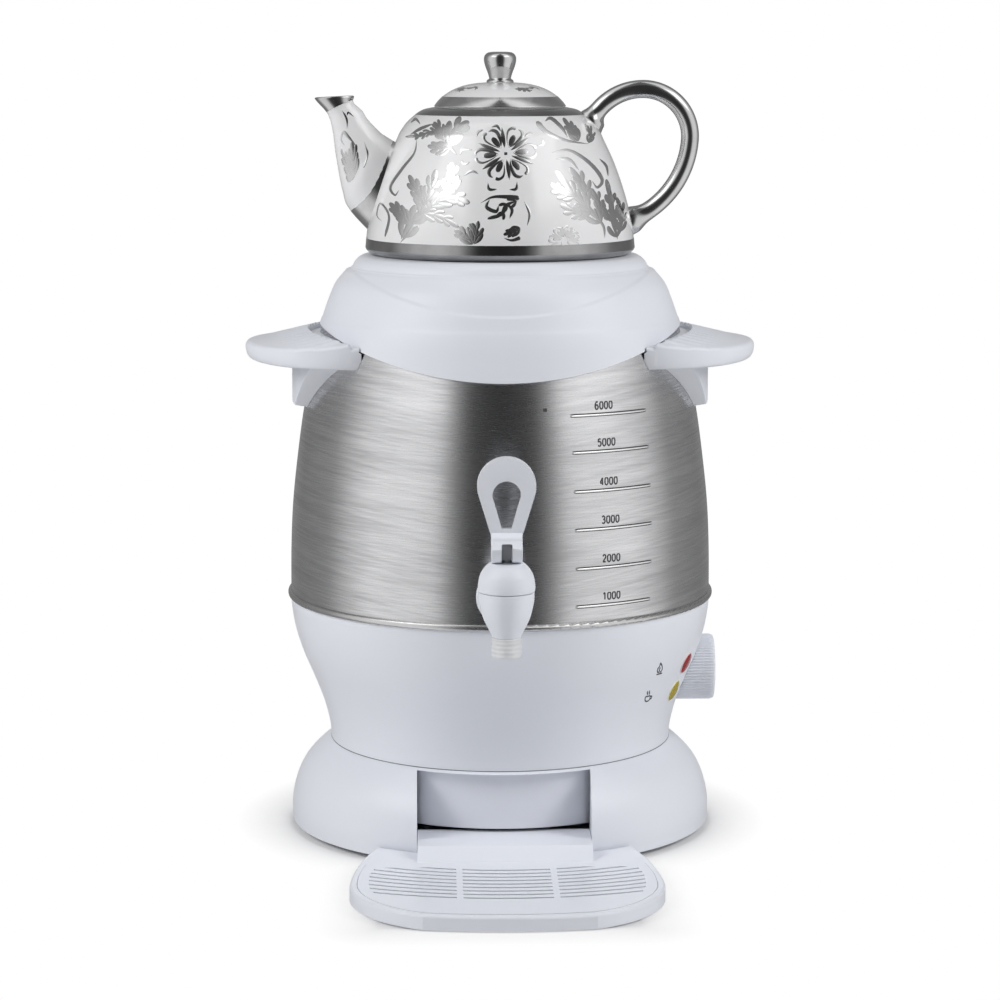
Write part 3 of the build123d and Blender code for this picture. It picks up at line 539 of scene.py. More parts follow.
skirt = {"outline": [(124.4, 2.5), (124.3, 14.5), (121.5, 26.5), (116.6, 36.5), (109, 45), (101.4, 51)],
         "wall": 3.0, "recessHalf": 49.5, "backRadius": 97.5, "sillZ": 17.0, "roofZ": 49.8, "sideEndY": -88.0,
         "topRing": (93.0, 101.2, 47.8, 50.98), "sideZ": (2.5, 50.5)}


def makeSkirt():
    # the round wall with its top ring, and the recess for the tray with two sides and a round back
    size, wall, half = skirt, skirt["wall"], skirt["recessHalf"]
    body = turned("skirtShell", wallProfile(size["outline"], wall, 48), 256)
    carve(body, ringPiece("top", *size["topRing"]), "UNION")
    carve(body, boxPiece("recess", (-half, -140, 1.5), (half, -70, size["roofZ"])))
    inside = softCurve(size["outline"], 48) - np.array([0.5, 0])
    low, high = size["sideZ"]
    for x in (-half - wall, half):
        side = boxPiece("side", (x, -130, low), (x + wall, size["sideEndY"], high))
        carve(side, turned("inside", np.vstack([inside, [(0, high + 0.1), (0, low)]]), 256), "INTERSECT")
        carve(body, side, "UNION")
    back = ringPiece("back", size["backRadius"] - wall, size["backRadius"], size["sillZ"], high)
    carve(back, boxPiece("front", (-half - 1, -130, low), (half + 1, 0, 52)), "INTERSECT")
    carve(body, back, "UNION")
    dress(body, "samovar", "white_plastic", "base_skirt")


ear = {"reach": 149.6, "centreX": 80.0, "halfWidth": 73.4, "bottomZ": 277.2, "rootX": 104.0, "rootZ": 296.4,
       "slope": 10.5, "crownRadius": 340.0, "round": (2.0, 3.4), "ribPitch": 7.0, "ribHalfSpan": 66.5,
       "ribHeight": 1.25, "ribLength": 24.0, "rootRadius": 112.5, "scoop": 2.6, "underRise": 1.4}
pad = {"radius": 122.4, "lowZ": 244.0, "topZ": 283.2, "lowHalf": 26.7, "topHalf": 71.5, "draft": 9.0,
       "draftX": 70.0, "backX": 78.0}


def earTop(x, y):
    # a barrel that falls along the ear, ribs that fade from the root line, a scoop between it and the cover
    size = ear
    slope, big = math.radians(size["slope"]), size["crownRadius"]
    fall = np.sqrt(big ** 2 - y ** 2) - big - (x - size["rootX"]) * math.sin(slope)
    top = size["rootZ"] + fall / math.cos(slope)
    beyond = np.sqrt(x ** 2 + y ** 2) - size["rootRadius"]
    lane = np.abs((y / size["ribPitch"] + 0.5) % 1.0 - 0.5) * 2
    ridge = softStep((1 - lane) / 0.62)
    share = np.clip(1 - beyond / size["ribLength"], 0, 1) * softStep((size["ribHalfSpan"] - np.abs(y)) / 1.5)
    share = share * softStep(beyond / 0.7)
    return top + size["ribHeight"] * share * ridge - size["scoop"] * softStep(-beyond / 1.1)


def earPlate():
    # rows run round the half ellipse; columns go over the top, the rounded edge and the underside
    size, centre = ear, ear["centreX"]
    a = np.linspace(-math.pi / 2, math.pi / 2, 380)[:, None]
    long, wide = size["reach"] - centre, size["halfWidth"]
    normal = np.stack([np.cos(a) * wide, np.sin(a) * long], -1)
    normal /= np.linalg.norm(normal, axis=-1, keepdims=True)
    edge = np.stack([centre + long * np.cos(a), wide * np.sin(a)], -1)
    near, far = size["round"]
    r = near + (far - near) * np.cos(a) ** 2
    inset = edge - r[..., None] * normal
    inset[..., 0] = np.maximum(inset[..., 0], centre)
    endX, y = inset[..., 0], inset[..., 1]
    root = np.clip(np.sqrt(size["rootRadius"] ** 2 - y ** 2), centre + 3, None)
    marks = [np.full_like(y, centre), root - 1.3, root + 0.9, root + size["ribLength"], endX]
    for k in range(1, 5):
        marks[k] = np.maximum(np.minimum(marks[k], endX), marks[k - 1])
    x = np.concatenate([marks[k] + (marks[k + 1] - marks[k]) * np.linspace(0, 1, n, endpoint=k == 3)[None, :]
                        for k, n in enumerate((7, 10, 30, 16))], 1)
    topZ = earTop(x, y + 0 * x)
    q = np.linspace(0, math.pi / 2, 9)[None, 1:]
    out = inset[:, 0, None] + normal[:, 0, None] * (r * np.sin(q))[..., None]
    edgeTop = topZ[:, -1:]
    upZ = edgeTop - r * (1 - np.cos(q))
    lowZ = size["bottomZ"] + size["underRise"] * np.clip((endX - 118) / 32, 0, 1) ** 2
    downZ = lowZ + (edgeTop - r - lowZ) * 0.98 * (1 - np.cos(q))
    xLow = centre + (endX - centre) * np.linspace(1, 0, 9)[None, :]
    xAll = np.concatenate([x, out[..., 0], out[:, ::-1, 0], xLow], 1)
    yAll = np.concatenate([y + 0 * x, out[..., 1], out[:, ::-1, 1], y + 0 * xLow], 1)
    zAll = np.concatenate([topZ, upZ, downZ[:, ::-1], lowZ + 0 * xLow], 1)
    return gridPiece("ear", np.stack([xAll, yAll, zAll], -1) * mm, False, True)


def earPad():
    # V-shaped pad: its flanks and bottom lean in by the draft towards the cylinder that is its outer face
    size = pad
    draft = math.tan(math.radians(size["draft"]))
    slope = (size["topHalf"] - size["lowHalf"]) / (size["topZ"] - size["lowZ"])
    slant = math.sqrt(1 + slope ** 2)
    lean = np.linspace(-1, 1, 61)

    def at(share, x):
        low = size["lowZ"] + draft * (x - size["draftX"])
        z = low + share * (size["topZ"] - low)
        half = size["lowHalf"] + slope * (z - size["lowZ"]) - slant * draft * (x - size["draftX"])
        return np.stack([x, lean * half, z], -1)

    rows = []
    for share in np.linspace(0, 1, 12):
        x = np.full(61, 120.0)
        for _ in range(8):
            outside = at(share, x)
            x = np.sqrt(size["radius"] ** 2 - outside[:, 1] ** 2)
        outside[:, 0] = x
        rows.append(np.vstack([outside, at(share, np.full(61, size["backX"]))[::-1]]))
    piece = capped("pad", np.array(rows))
    rounded(piece, 1.2, 3, 40)
    return piece


def makeEars():
    # the plate and its pad, cut back where the cover and the tank are
    right = earPlate()
    carve(right, earPad(), "UNION")
    under = softCurve(coverSkirt(2.4) + cover["crown"][:2], 40)
    hollow = turned("coverRoom", np.vstack([under, [(0, under[-1, 1]), (0, scallopHeights[0])]]), 256)
    x = np.linspace(-130, 130, 97)
    z = arcHeight(cover["rimZ"] - 0.8, cover["rimArc"], x)
    loop = np.vstack([np.stack([x, z], -1), [(130, 200), (-130, 200)]])
    wall = [np.stack([loop[:, 0], np.full(len(loop), y), loop[:, 1]], -1) for y in (-150, 150)]
    carve(hollow, capped("below", wall))
    carve(right, hollow)
    carve(right, turnedSolid("tankRoom", softCurve(tank["outline"], 60) + np.array([0.1, 0])))
    left = linked("leftEar", right.data.copy())
    left.data.transform(Matrix.Scale(-1, 4, (1, 0, 0)))
    left.data.flip_normals()
    dress(right, "samovar", "white_plastic", "right_handle")
    dress(left, "samovar", "white_plastic", "left_handle")


knob = {"z": 90.9, "radius": 19.5, "backX": 104.2, "faceX": 127.6, "ribs": 70, "ribDepth": 0.55, "round": 1.5,
        "bore": 3.05, "boreEndX": 118.2, "dish": 0.5}


def makeKnob():
    # r = radius - depth (1/2 + cos ribs a / 2)^2 along the grip, a rounded front edge and a dished face
    size = knob
    a = fullTurn(size["ribs"] * 8)[:, None]
    notch = size["ribDepth"] * (0.5 + 0.5 * np.cos(size["ribs"] * a)) ** 2
    front, back, big, bend = size["faceX"], size["backX"], size["radius"], size["round"]
    # x, radius and the share of the notch's depth
    rows = [(back, size["bore"], 0), (back, big - 1.2, 0), (back + 0.4, big - 0.5, 0.6), (back + 0.8, big, 1),
            (front - 3.2, big, 1), (front - 2.4, big, 0.9)]
    for v in np.linspace(0, math.pi / 2, 8):
        bent = bend * (1 - math.cos(v))
        rows.append((front - bend + bend * math.sin(v), big - 0.35 - bent, 0.5 * math.cos(v)))
    rows += [(front - 0.1, big - 3.0, 0), (front - size["dish"], big - 5.0, 0), (front - size["dish"], 0, 0),
             (size["boreEndX"], 0, 0), (size["boreEndX"], size["bore"], 0)]
    x, r, share = np.array(rows).T
    radii = r - share * notch
    points = np.stack([x + 0 * a, radii * np.sin(a), size["z"] + radii * np.cos(a)], -1)
    dress(tubePiece("knobGrip", points), "knob", "white_plastic", "control_knob")


makeSkirt()
makeEars()
makeKnob()
print("skirt, handles and knob made")


pot = {"z": 338.4, "footRadius": 75.9, "mouthRadius": 33.5, "topZ": 85.1,
       "outline": [(78.8, 4), (77.2, 18), (72.6, 36), (66.6, 53), (60.4, 66.4), (58.1, 71.2), (53.4, 77.4),
                   (45.8, 83.2), (38.6, 85.1)],
       "inside": [(43.8, 79.6), (51.6, 73.1), (59, 62.6), (65.3, 45.4), (71.6, 28.2), (74.6, 10.3),
                  (73.4, 3.2)],
       "baseBandTop": 9.6, "shoulderBand": (80.9, 85.0), "proud": 0.12}


def raised(points):
    # heights over the pot's foot made heights over the ground
    return [(r, h + pot["z"]) for r, h in points]


potOutline = raised(pot["outline"])


def makePotBody():
    # the glazed outline turned up from the foot's rounded edge, and the inside turned down again
    foot, mouth, top = pot["footRadius"], pot["mouthRadius"], pot["topZ"]
    heel = raised([(foot - 2.2, 0), (foot - 0.6, 0.4), (77.2, 1.6), (78.3, 2.9)])
    lip = raised([(mouth + 0.8, top), (mouth, top - 0.8), (mouth, top - 2.6), (mouth + 1.6, top - 3.7)])
    floor = raised([(60, 3.2), (0, 3.2), (0, 1.2), (71, 1.2)])
    inner = softCurve(raised(pot["inside"]), 60)
    body = turned("potBody", np.vstack([heel, softCurve(potOutline, 110), lip, inner, floor]), 224)
    dress(body, "teapot", "porcelain", "teapot_body")


def makePotBands():
    # silver shells that stand a tenth of a millimetre off the glaze, round the foot and under the lid, in the
    # darker silver that is painted shade
    heel = raised([(73.5, -0.02), (75.4, 0.3), (77.25, 1.5), (78.4, 2.8), (78.9, 4)])
    curve = softCurve(potOutline, 200)
    side = curve[curve[:, 1] < pot["z"] + pot["baseBandTop"]]
    outer = np.vstack([heel, side + np.array([pot["proud"], 0])])
    base = turned("potBaseBand", np.vstack([outer, outer[::-1] - np.array([0.5, 0])]), 224)
    dress(base, "teapot", "silvered_porcelain", finish=bandSilverPaintedShade)
    low, high = pot["shoulderBand"]
    z = np.linspace(pot["z"] + low, pot["z"] + high, 16)
    r = radiusAt(potOutline, z)
    shell = np.vstack([np.stack([r + pot["proud"], z], -1), np.stack([r - 0.3, z], -1)[::-1]])
    dress(turned("potShoulderBand", shell, 224), "teapot", "silvered_porcelain", finish=bandSilverPaintedShade)


# Each row of the spout: centre's x and z, the slope's x and z, and the ellipse's two half widths
spout = {"rows": [(-59, 369.5, -0.947, 0.322, 28, 18), (-76.6, 384.9, -0.884, 0.468, 23.8, 15),
                  (-81.2, 392.1, -0.85, 0.53, 20.4, 12.6), (-86.6, 406, -0.77, 0.64, 14.2, 9.4),
                  (-88.9, 415.4, -0.58, 0.81, 10.5, 7.8), (-92.9, 423.1, -0.37, 0.93, 8.3, 6.6),
                  (-96.4, 429, -0.05, 1.0, 11.4, 7)], "wall": 2.2, "steps": 72, "silverFrom": 0.845}


def spoutSurface(t, a, wall=0.0):
    # ellipse across the spout: centre and slope follow smooth curves of t, 0 at the pot and 1 at the lip
    rows = softCurve(spout["rows"], 400)
    place = np.clip(t, 0, 1) * 399
    cx, cz, sx, sz, high, wide = [np.interp(place, np.arange(400), rows[:, k]) for k in range(6)]
    length = np.sqrt(sx ** 2 + sz ** 2)
    up = (high - wall) * np.cos(a)
    return np.stack([cx + sz / length * up, (wide - wall) * np.sin(a), cz - sx / length * up], -1)


def potRoom(grow):
    # the pot as a solid, to cut what would stand inside it
    curve = softCurve(potOutline, 110) + np.array([grow, 0])
    ends = raised([(0, pot["topZ"]), (0, -1), (77 + grow, -1)])
    return turned("potRoom", np.vstack([curve, ends]), 224)


def makeSpout():
    a = fullTurn(72)[None, :]
    t = np.linspace(0, 1, spout["steps"])[:, None]
    wall = spout["wall"]

    def lip(steps):
        return np.stack([spoutSurface(1.0, a[0], inward) + np.array([0, 0, rise]) for inward, rise in steps])

    rows = [spoutSurface(t, a), lip([(0.25, 0.35), (0.9, 0.5), (1.5, 0.25)]), spoutSurface(t[::-1], a, wall)]
    tube = tubePiece("spoutTube", np.concatenate(rows))
    carve(tube, potRoom(-1.2))
    dress(tube, "teapot", "porcelain", "teapot_spout")
    # silver lip: the tube's last part, a tenth of a millimetre outside it and lower on its far side
    t = np.linspace(spout["silverFrom"], 1, 14)[:, None]
    lean = 0.05 * (1 + np.cos(a)) * (1 - t) / (1 - spout["silverFrom"]) * 0.5
    rows = [spoutSurface(t + lean, a, -pot["proud"]), lip([(0.2, 0.5), (0.9, 0.65), (1.8, 0.4), (2.3, -0.4)]),
            spoutSurface(np.linspace(1, 0.93, 5)[:, None], a, wall + pot["proud"]),
            spoutSurface(np.linspace(0.935, 0.86, 4)[:, None], a, 0.8)]
    dress(tubePiece("spoutSilver", np.concatenate(rows)), "teapot", "silvered_porcelain")
    # silver strip along the joint with the pot, narrow above and wide below
    a = fullTurn(96)[None, :]
    t = np.linspace(0, 0.75, 200)[:, None]
    line = spoutSurface(t, a)
    away = np.hypot(line[..., 0], line[..., 1]) - radiusAt(potOutline, line[..., 2])
    joint = t[np.argmax(away > 0, 0), 0][None, :] - 0.03
    width = 0.042 + 0.075 * (0.5 - 0.5 * np.cos(a)) ** 3
    share = np.linspace(0, 1, 10)[:, None]
    rows = [spoutSurface(joint + width * share, a, -pot["proud"]),
            spoutSurface(joint + width * share[::-1], a, 0.4)]
    dress(tubePiece("spoutFoot", np.concatenate(rows)), "teapot", "silvered_porcelain")


potHandle = {"top": (83.3, 433.9), "side": (110.9, 404.1), "foot": (83.0, 361.0), "start": (50.0, 405.8),
             "grip": (4.4, 5.0), "toe": 16.0, "flare": 0.55, "flareLength": 9.0}


def arcThrough(start, tangent, end, count):
    # the circle that leaves a point along a tangent and passes an end point; also its last direction
    a, b = np.array(start, float), np.array(end, float)
    d = np.array(tangent, float)
    d /= np.linalg.norm(d)
    n = np.array([-d[1], d[0]])
    chord = b - a
    radius = chord @ chord / (2 * (chord @ n))
    centre = a + radius * n
    sweep = 2 * math.atan2(chord @ n, chord @ d)
    angle = math.atan2(*(a - centre)[::-1]) + np.linspace(0, sweep, count)
    points = centre + abs(radius) * np.stack([np.cos(angle), np.sin(angle)], -1)
    cosine, sine = math.cos(sweep), math.sin(sweep)
    return points, np.array([[cosine, -sine], [sine, cosine]]) @ d


def makePotHandle():
    # an ellipse carried along three arcs, wider where it joins the pot
    size = potHandle
    rise, _ = arcThrough(size["top"], (-1, 0), size["start"], 40)
    turn, way = arcThrough(size["top"], (1, 0), size["side"], 46)
    drop, way = arcThrough(size["side"], way, size["foot"], 60)
    toe = drop[-1] + np.linspace(0, size["toe"], 12)[1:, None] * way
    path = np.vstack([rise[::-1], turn[1:], drop[1:], toe])
    side = normalsOf(path)
    gap = np.clip(path[:, 0] - np.interp(path[:, 1], *np.array(potOutline).T[::-1]), 0, None)
    near = (1 + size["flare"] * np.exp(-(gap / size["flareLength"]) ** 2 * 2.2))[:, None]
    a = fullTurn(48)[None, :]
    flat, high = size["grip"]
    inPlane = high * near * np.cos(a) * (1 + 0.05 * np.cos(2 * a))
    rows = np.stack([path[:, 0, None] + side[:, 0, None] * inPlane, flat * near * np.sin(a),
                     path[:, 1, None] + side[:, 1, None] * inPlane], -1)
    piece = capped("potHandleLoop", rows)
    carve(piece, potRoom(-0.4))
    dress(piece, "teapot", "silvered_porcelain", "teapot_handle")


lid = {"dome": [(7.6, 99.4), (14.4, 98.8), (20.8, 97.6), (26.2, 95.7), (30.2, 93.6), (33.6, 91.2)],
       "rim": [(33.6, 91.2), (35.4, 89.4), (36.9, 87.7), (38, 86.2), (38.2, 85.7), (37.7, 85.25)],
       "knob": [(0, 116.9), (4.6, 116.8), (7.4, 116.2), (9, 114.4), (9.25, 111.9), (8.5, 108.6), (7.2, 105.2),
                (6.4, 102.6), (6.3, 101.5), (7.3, 100.7), (7.8, 100), (7.6, 99.35)],
       "under": [(33.2, 85.25), (33.2, 79.5), (30.4, 79.5), (30.4, 87.5), (16, 94.6), (0, 95.2)]}


def makeLid():
    knobLine, domeLine, rimLine = [softCurve(raised(lid[key]), count)
                                   for key, count in (("knob", 70), ("dome", 40), ("rim", 36))]
    body = turned("lidBody", np.vstack([knobLine, domeLine[1:], rimLine[1:], raised(lid["under"])]))
    dress(body, "pot_lid", "porcelain", "teapot_lid")
    for name, line in (("lidKnobSilver", knobLine), ("lidRimSilver", rimLine)):
        off = normalsOf(line)
        shell = np.vstack([line + pot["proud"] * off, (line - 0.35 * off)[::-1]])
        shell[:, 0] = np.maximum(shell[:, 0], 0)
        dress(turned(name, shell, 160), "pot_lid", "silvered_porcelain")


makePotBody()
makePotBands()
makeSpout()
makePotHandle()
makeLid()
print("teapot made")


tap = {"y": -158.0, "inletZ": 157.0, "topZ": 181.8, "collarLow": 129.5, "collarTop": 140.4,
       "collarRadius": 8.4, "threadPitch": 2.4, "outlet": 4.6, "chamber": 10.8, "passage": 5.2,
       "seatZ": 149.0,
       "body": [(7.6, 140.5), (9.2, 143.6), (11.7, 148.5), (13.5, 153.2), (14.7, 159.2), (15.2, 164.9)],
       "dome": [(15.5, 166.4), (15.6, 169.2), (14.6, 174.6), (12.2, 178.8), (9.6, 181.3)],
       "neck": [(0, -158), (7.6, -158), (7.75, -146), (8, -136), (8.7, -132.5), (10.4, -130.7),
                (13.2, -130.1), (15, -129.9), (15.9, -129.4), (16.2, -128.5), (16.2, -127), (8, -127),
                (8, -108), (0, -108)]}


def atTap(piece):
    piece.data.transform(Matrix.Translation((0, tap["y"] * mm, 0)))
    return piece


def makeTap():
    size, y, top = tap, tap["y"], tap["topZ"]
    low = softCurve(size["body"], 40)
    outline = np.vstack([[(0, 140.45), (7.3, 140.45)], low, [(15.15, 165.3), (14.8, 165.45), (0, 165.45)]])
    body = atTap(turned("tapBody", outline, 128))
    # the neck is carried round a line that runs front to back
    neck = turned("neck", size["neck"], 96)
    lift = Matrix.Translation((0, 0, size["inletZ"] * mm))
    neck.data.transform(lift @ Matrix.Rotation(math.radians(-90), 4, "X"))
    carve(body, neck, "UNION")
    carve(body, barPiece("passage", (0, y, size["inletZ"]), (0, -100, size["inletZ"]), size["passage"]))
    carve(body, barPiece("chamber", (0, y, size["seatZ"]), (0, y, 170), size["chamber"], 96))
    carve(body, barPiece("outlet", (0, y, 130), (0, y, 150), size["outlet"]))
    dress(body, "samovar", "white_plastic", "tap_body")
    profile = np.vstack([[(14.9, 165.75), (15.35, 165.95)], softCurve(size["dome"], 40),
                         [(9, 181.7), (8.2, top), (3.1, top), (2.8, 181.5), (2.8, 176.5), (7, 176.5),
                          (size["chamber"], 172.5), (size["chamber"], 165.75)]])
    dress(atTap(turned("tapBonnet", profile, 128)), "samovar", "white_plastic", "tap_bonnet")
    low, top = size["collarLow"], size["collarTop"]
    z = np.linspace(low + 0.5, top - 0.6, 50)
    r = size["collarRadius"] + 0.12 * np.sin((z - z[0]) * 2 * math.pi / size["threadPitch"]) - 0.12
    profile = np.vstack([np.stack([r, z], -1), [(7.9, top), (5.5, top), (5.2, top - 0.4), (5.2, low + 0.4),
                                                (5.5, low), (7.9, low)]])
    dress(atTap(turned("tapCollar", profile, 128)), "samovar", "clear_collar", "tap_collar")


lever = {"pinZ": 189.9, "pinRadius": 1.21, "camReach": 8.0, "camGrowth": 3.0, "angle": 79.0, "half": 3.0,
         "footZ": 198.3, "neckHalf": 8.4, "loop": (223.5, 16.0), "hole": (218.7, 7.7, 200.5, 2.7, 9),
         "slotHalf": 2.95, "slotTopZ": 193.2, "soft": 1.5}


def dropLoop(name, z, radius, lowZ, lowHalf, depth):
    # a circle and the two lines that touch it and end on a shorter level line: a teardrop, carried along y
    corner = np.array([lowHalf, lowZ - z])
    touch = math.atan2(corner[1], corner[0]) + math.acos(radius / np.hypot(*corner))
    a = np.linspace(touch, math.pi - touch, 90)
    circle = np.stack([radius * np.cos(a), z + radius * np.sin(a)], -1)
    right = np.linspace((lowHalf, lowZ), circle[0], 24)[:-1]
    base = np.linspace((-lowHalf, lowZ), (lowHalf, lowZ), 8)[1:-1]
    loop = np.vstack([right, circle, right[::-1] * np.array([-1, 1]), base])
    return capped(name, [np.insert(loop, 1, tap["y"] + side, 1) for side in (-depth, depth)])


def makeLever():
    # its foot is a cam: an involute that keeps the pin's height growing evenly with the tilt
    size, y, z = lever, tap["y"], lever["pinZ"]
    a = np.radians(np.linspace(0, size["angle"], 40))
    grow = size["camGrowth"]
    reach = size["camReach"] + grow * a
    cam = np.stack([-reach * np.sin(a) - grow * np.cos(a), -reach * np.cos(a) + grow * np.sin(a)], -1)
    half, top = size["half"], size["footZ"] - z
    back = softCurve([(-8.6, 4.6), (-7.6, 6.4), (-5.6, 7.4), (-half, top)], 16)
    front = np.array([(0, top), (0.5, 5.5), (1, 3.5), (1, -7.2), (0.8, -7.8), (0.2, -size["camReach"])])
    outline = np.vstack([cam, back, front + np.array([half, 0])]) + np.array([y, z])
    wide = size["neckHalf"]
    foot = capped("leverFoot", [np.insert(outline, 0, side, 1) for side in (-wide, wide)])
    rounded(foot, 0.7, 3, 40)
    loop = dropLoop("leverLoop", *size["loop"], size["footZ"] - 2.0, wide, half)
    carve(loop, dropLoop("loopHole", *size["hole"]))
    rounded(loop, size["soft"], 4, 40)
    carve(foot, loop, "UNION")
    slot = boxPiece("slot", (-size["slotHalf"], y - 20, z - 12), (size["slotHalf"], y + 20, size["slotTopZ"]))
    rounded(slot, 0.8, 3)
    carve(foot, slot)
    carve(foot, barPiece("pinHole", (-20, y, z), (20, y, z), size["pinRadius"], 40))
    dress(foot, "lever", "white_plastic", "tap_lever")


lamps = {"red": (67.3, 102.1), "amber": (66.7, 85.4)}
lampShape = {"lens": 6.15, "rim": 6.7, "depth": 9.7, "stem": 5.6, "dome": 1.6}


def onHousing(angle, z):
    # a frame on the housing with its third axis along the surface's normal
    outline, a = housing["outline"], math.radians(angle)
    slope = (radiusAt(outline, z + 2) - radiusAt(outline, z - 2)) / 4
    out = Vector((math.sin(a), -math.cos(a), -slope)).normalized()
    side = Vector((math.cos(a), math.sin(a), 0))
    turn = Matrix((side, out.cross(side), out)).transposed().to_4x4()
    return Matrix.Translation(Vector(onBody(outline, a, z).tolist())) @ turn


def makeLamps():
    # a shallow dome of coloured plastic in a paler rim, with the stem that holds it in the wall
    size = lampShape
    edge, rim, stem, deep = size["lens"], size["rim"], size["stem"], -size["depth"]
    q = np.linspace(0, math.pi / 2, 14)
    dome = np.stack([edge * np.cos(q), 0.3 + (size["dome"] - 0.3) * np.sin(q)], -1)
    lensShape = np.vstack([[(0, deep), (stem - 0.6, deep), (stem, deep + 0.6), (stem, 0.2)], dome])
    rimShape = [(edge + 0.02, -0.6), (rim, -0.6), (rim, 0.2), (rim - 0.15, 0.35), (edge + 0.1, 0.35),
                (edge + 0.02, 0.2)]
    for key, place in lamps.items():
        lens, ring = turned(key + "Lens", lensShape, 72), turned(key + "Rim", rimShape, 72)
        for piece in (lens, ring):
            piece.data.transform(onHousing(*place))
        dress(lens, "samovar", key + "_lens", key + "_lamp")
        dress(ring, "samovar", key + "_lens", finish=lampRims[key])


makeTap()
makeLever()
makeLamps()
print("tap and lamps made")


def widthOf(kind, s):
    # share of the full width at s from 0 to 1 along a stroke
    near, far = np.clip(s, 0, 1), np.clip(1 - s, 0, 1)
    if kind == "even":
        return np.minimum(1, np.sqrt(np.minimum(near, far) / 0.05))
    if kind == "taper":
        return np.sin(math.pi * s) ** 0.8
    if kind == "tail":
        return np.minimum(1, np.sqrt(near / 0.08)) * far ** 0.75
    # a drop: slim where it starts and round at its far end
    return near ** 0.8 * far ** 0.5 / 0.42


def leafParts(width, knots):
    # a midrib that swells, and three pairs of rounded lobes that leave it and curl forward
    line = softCurve(knots, 60)
    way = waysOf(line)
    parts = [("taper", width * 0.5, knots), ("drop", width * 0.45, line[30:] + way[30:] * width * 0.12)]
    for share in (0.06, 0.32, 0.58):
        spot, ahead = line[int(share * 59)], way[int(share * 59)]
        reach = width * (1.15 - 0.5 * share)
        for side in (-1, 1):
            out = np.array([-ahead[1], ahead[0]]) * side * reach
            parts.append(("drop", width * 0.40, [spot - ahead * width * 0.08,
                                                 spot + ahead * reach * 0.42 + out * 0.34,
                                                 spot + ahead * reach * 0.98 + out * 0.50]))
    return parts


def inked(name, strokes, spotOf, lift):
    # each stroke is a thin ribbon with rounded sides: a centre line, a width along it, a surface under it
    points, faces, start = [], [], 0
    across = np.array([-1, -1, -0.6, 0.0, 0.6, 1, 1])
    heights = np.array([-1.5, 0.5, 1.0, 1.08, 1.0, 0.5, -1.5]) * lift
    whole = []
    for stroke in strokes:
        whole += leafParts(*stroke[1:]) if stroke[0] == "leaf" else [stroke]
    for kind, width, knots in whole:
        count = min(12 + 9 * len(knots), 60)
        line = softCurve(knots, count)
        s = np.linspace(0, 1, count)
        side = widthOf(kind, s)[:, None] * across[None, :] * width / 2
        tall = heights[None, :] * np.minimum(1, np.minimum(s, 1 - s) * 60)[:, None]
        flat = line[:, None, :] + normalsOf(line)[:, None, :] * side[..., None]
        points.append(spotOf(flat[..., 0], flat[..., 1], tall).reshape(-1, 3))
        faces.append(gridFaces(count, 7, False, True) + start)
        start += count * 7
    return meshPiece(name, np.vstack(points), np.vstack(faces))


levels = {"heights": (149.1, 170.4, 192.1, 213.4, 235.0, 255.3), "from": 18.4, "to": (42.1, 45.0),
          "numberFrom": 26.3, "numberRise": 3.0, "size": 4.1, "pitch": 0.75, "stroke": 0.215,
          "dot": (11.4, 259.1), "dotHalf": 1.2, "ridge": 0.9}
# The knots of each stroke of a digit, across and up in hundredths of its size
digitStrokes = {
    "0": [(28, 100, 8, 84, 4, 50, 8, 16, 28, 0, 48, 16, 52, 50, 48, 84, 28, 100)],
    "1": [(10, 78, 34, 100), (34, 100, 34, 0)],
    "2": [(6, 76, 15, 95, 32, 100, 48, 86, 46, 60, 24, 30, 6, 4), (5, 4, 52, 4)],
    "3": [(6, 84, 26, 100, 47, 82, 42, 60, 22, 54), (22, 54, 46, 47, 51, 22, 30, 0, 5, 14)],
    "4": [(40, 0, 40, 100), (40, 100, 4, 32), (3, 27, 54, 27)],
    "5": [(48, 96, 13, 96), (13, 98, 9, 52), (9, 52, 30, 63, 51, 42, 46, 10, 24, 0, 5, 13)],
    "6": [(46, 88, 30, 100, 10, 78, 5, 35, 20, 2, 42, 5, 51, 30, 36, 58, 14, 50, 6, 34)]}


def drawn(drawing, left, low, size, width, across=0.0, up=0.0):
    # strokes of one width from a drawing in hundredths of a size
    return [("even", width * size, [(left + (across + x / 100) * size, low + (y / 100 + up) * size)
                                    for x, y in zip(row[::2], row[1::2])]) for row in drawing]


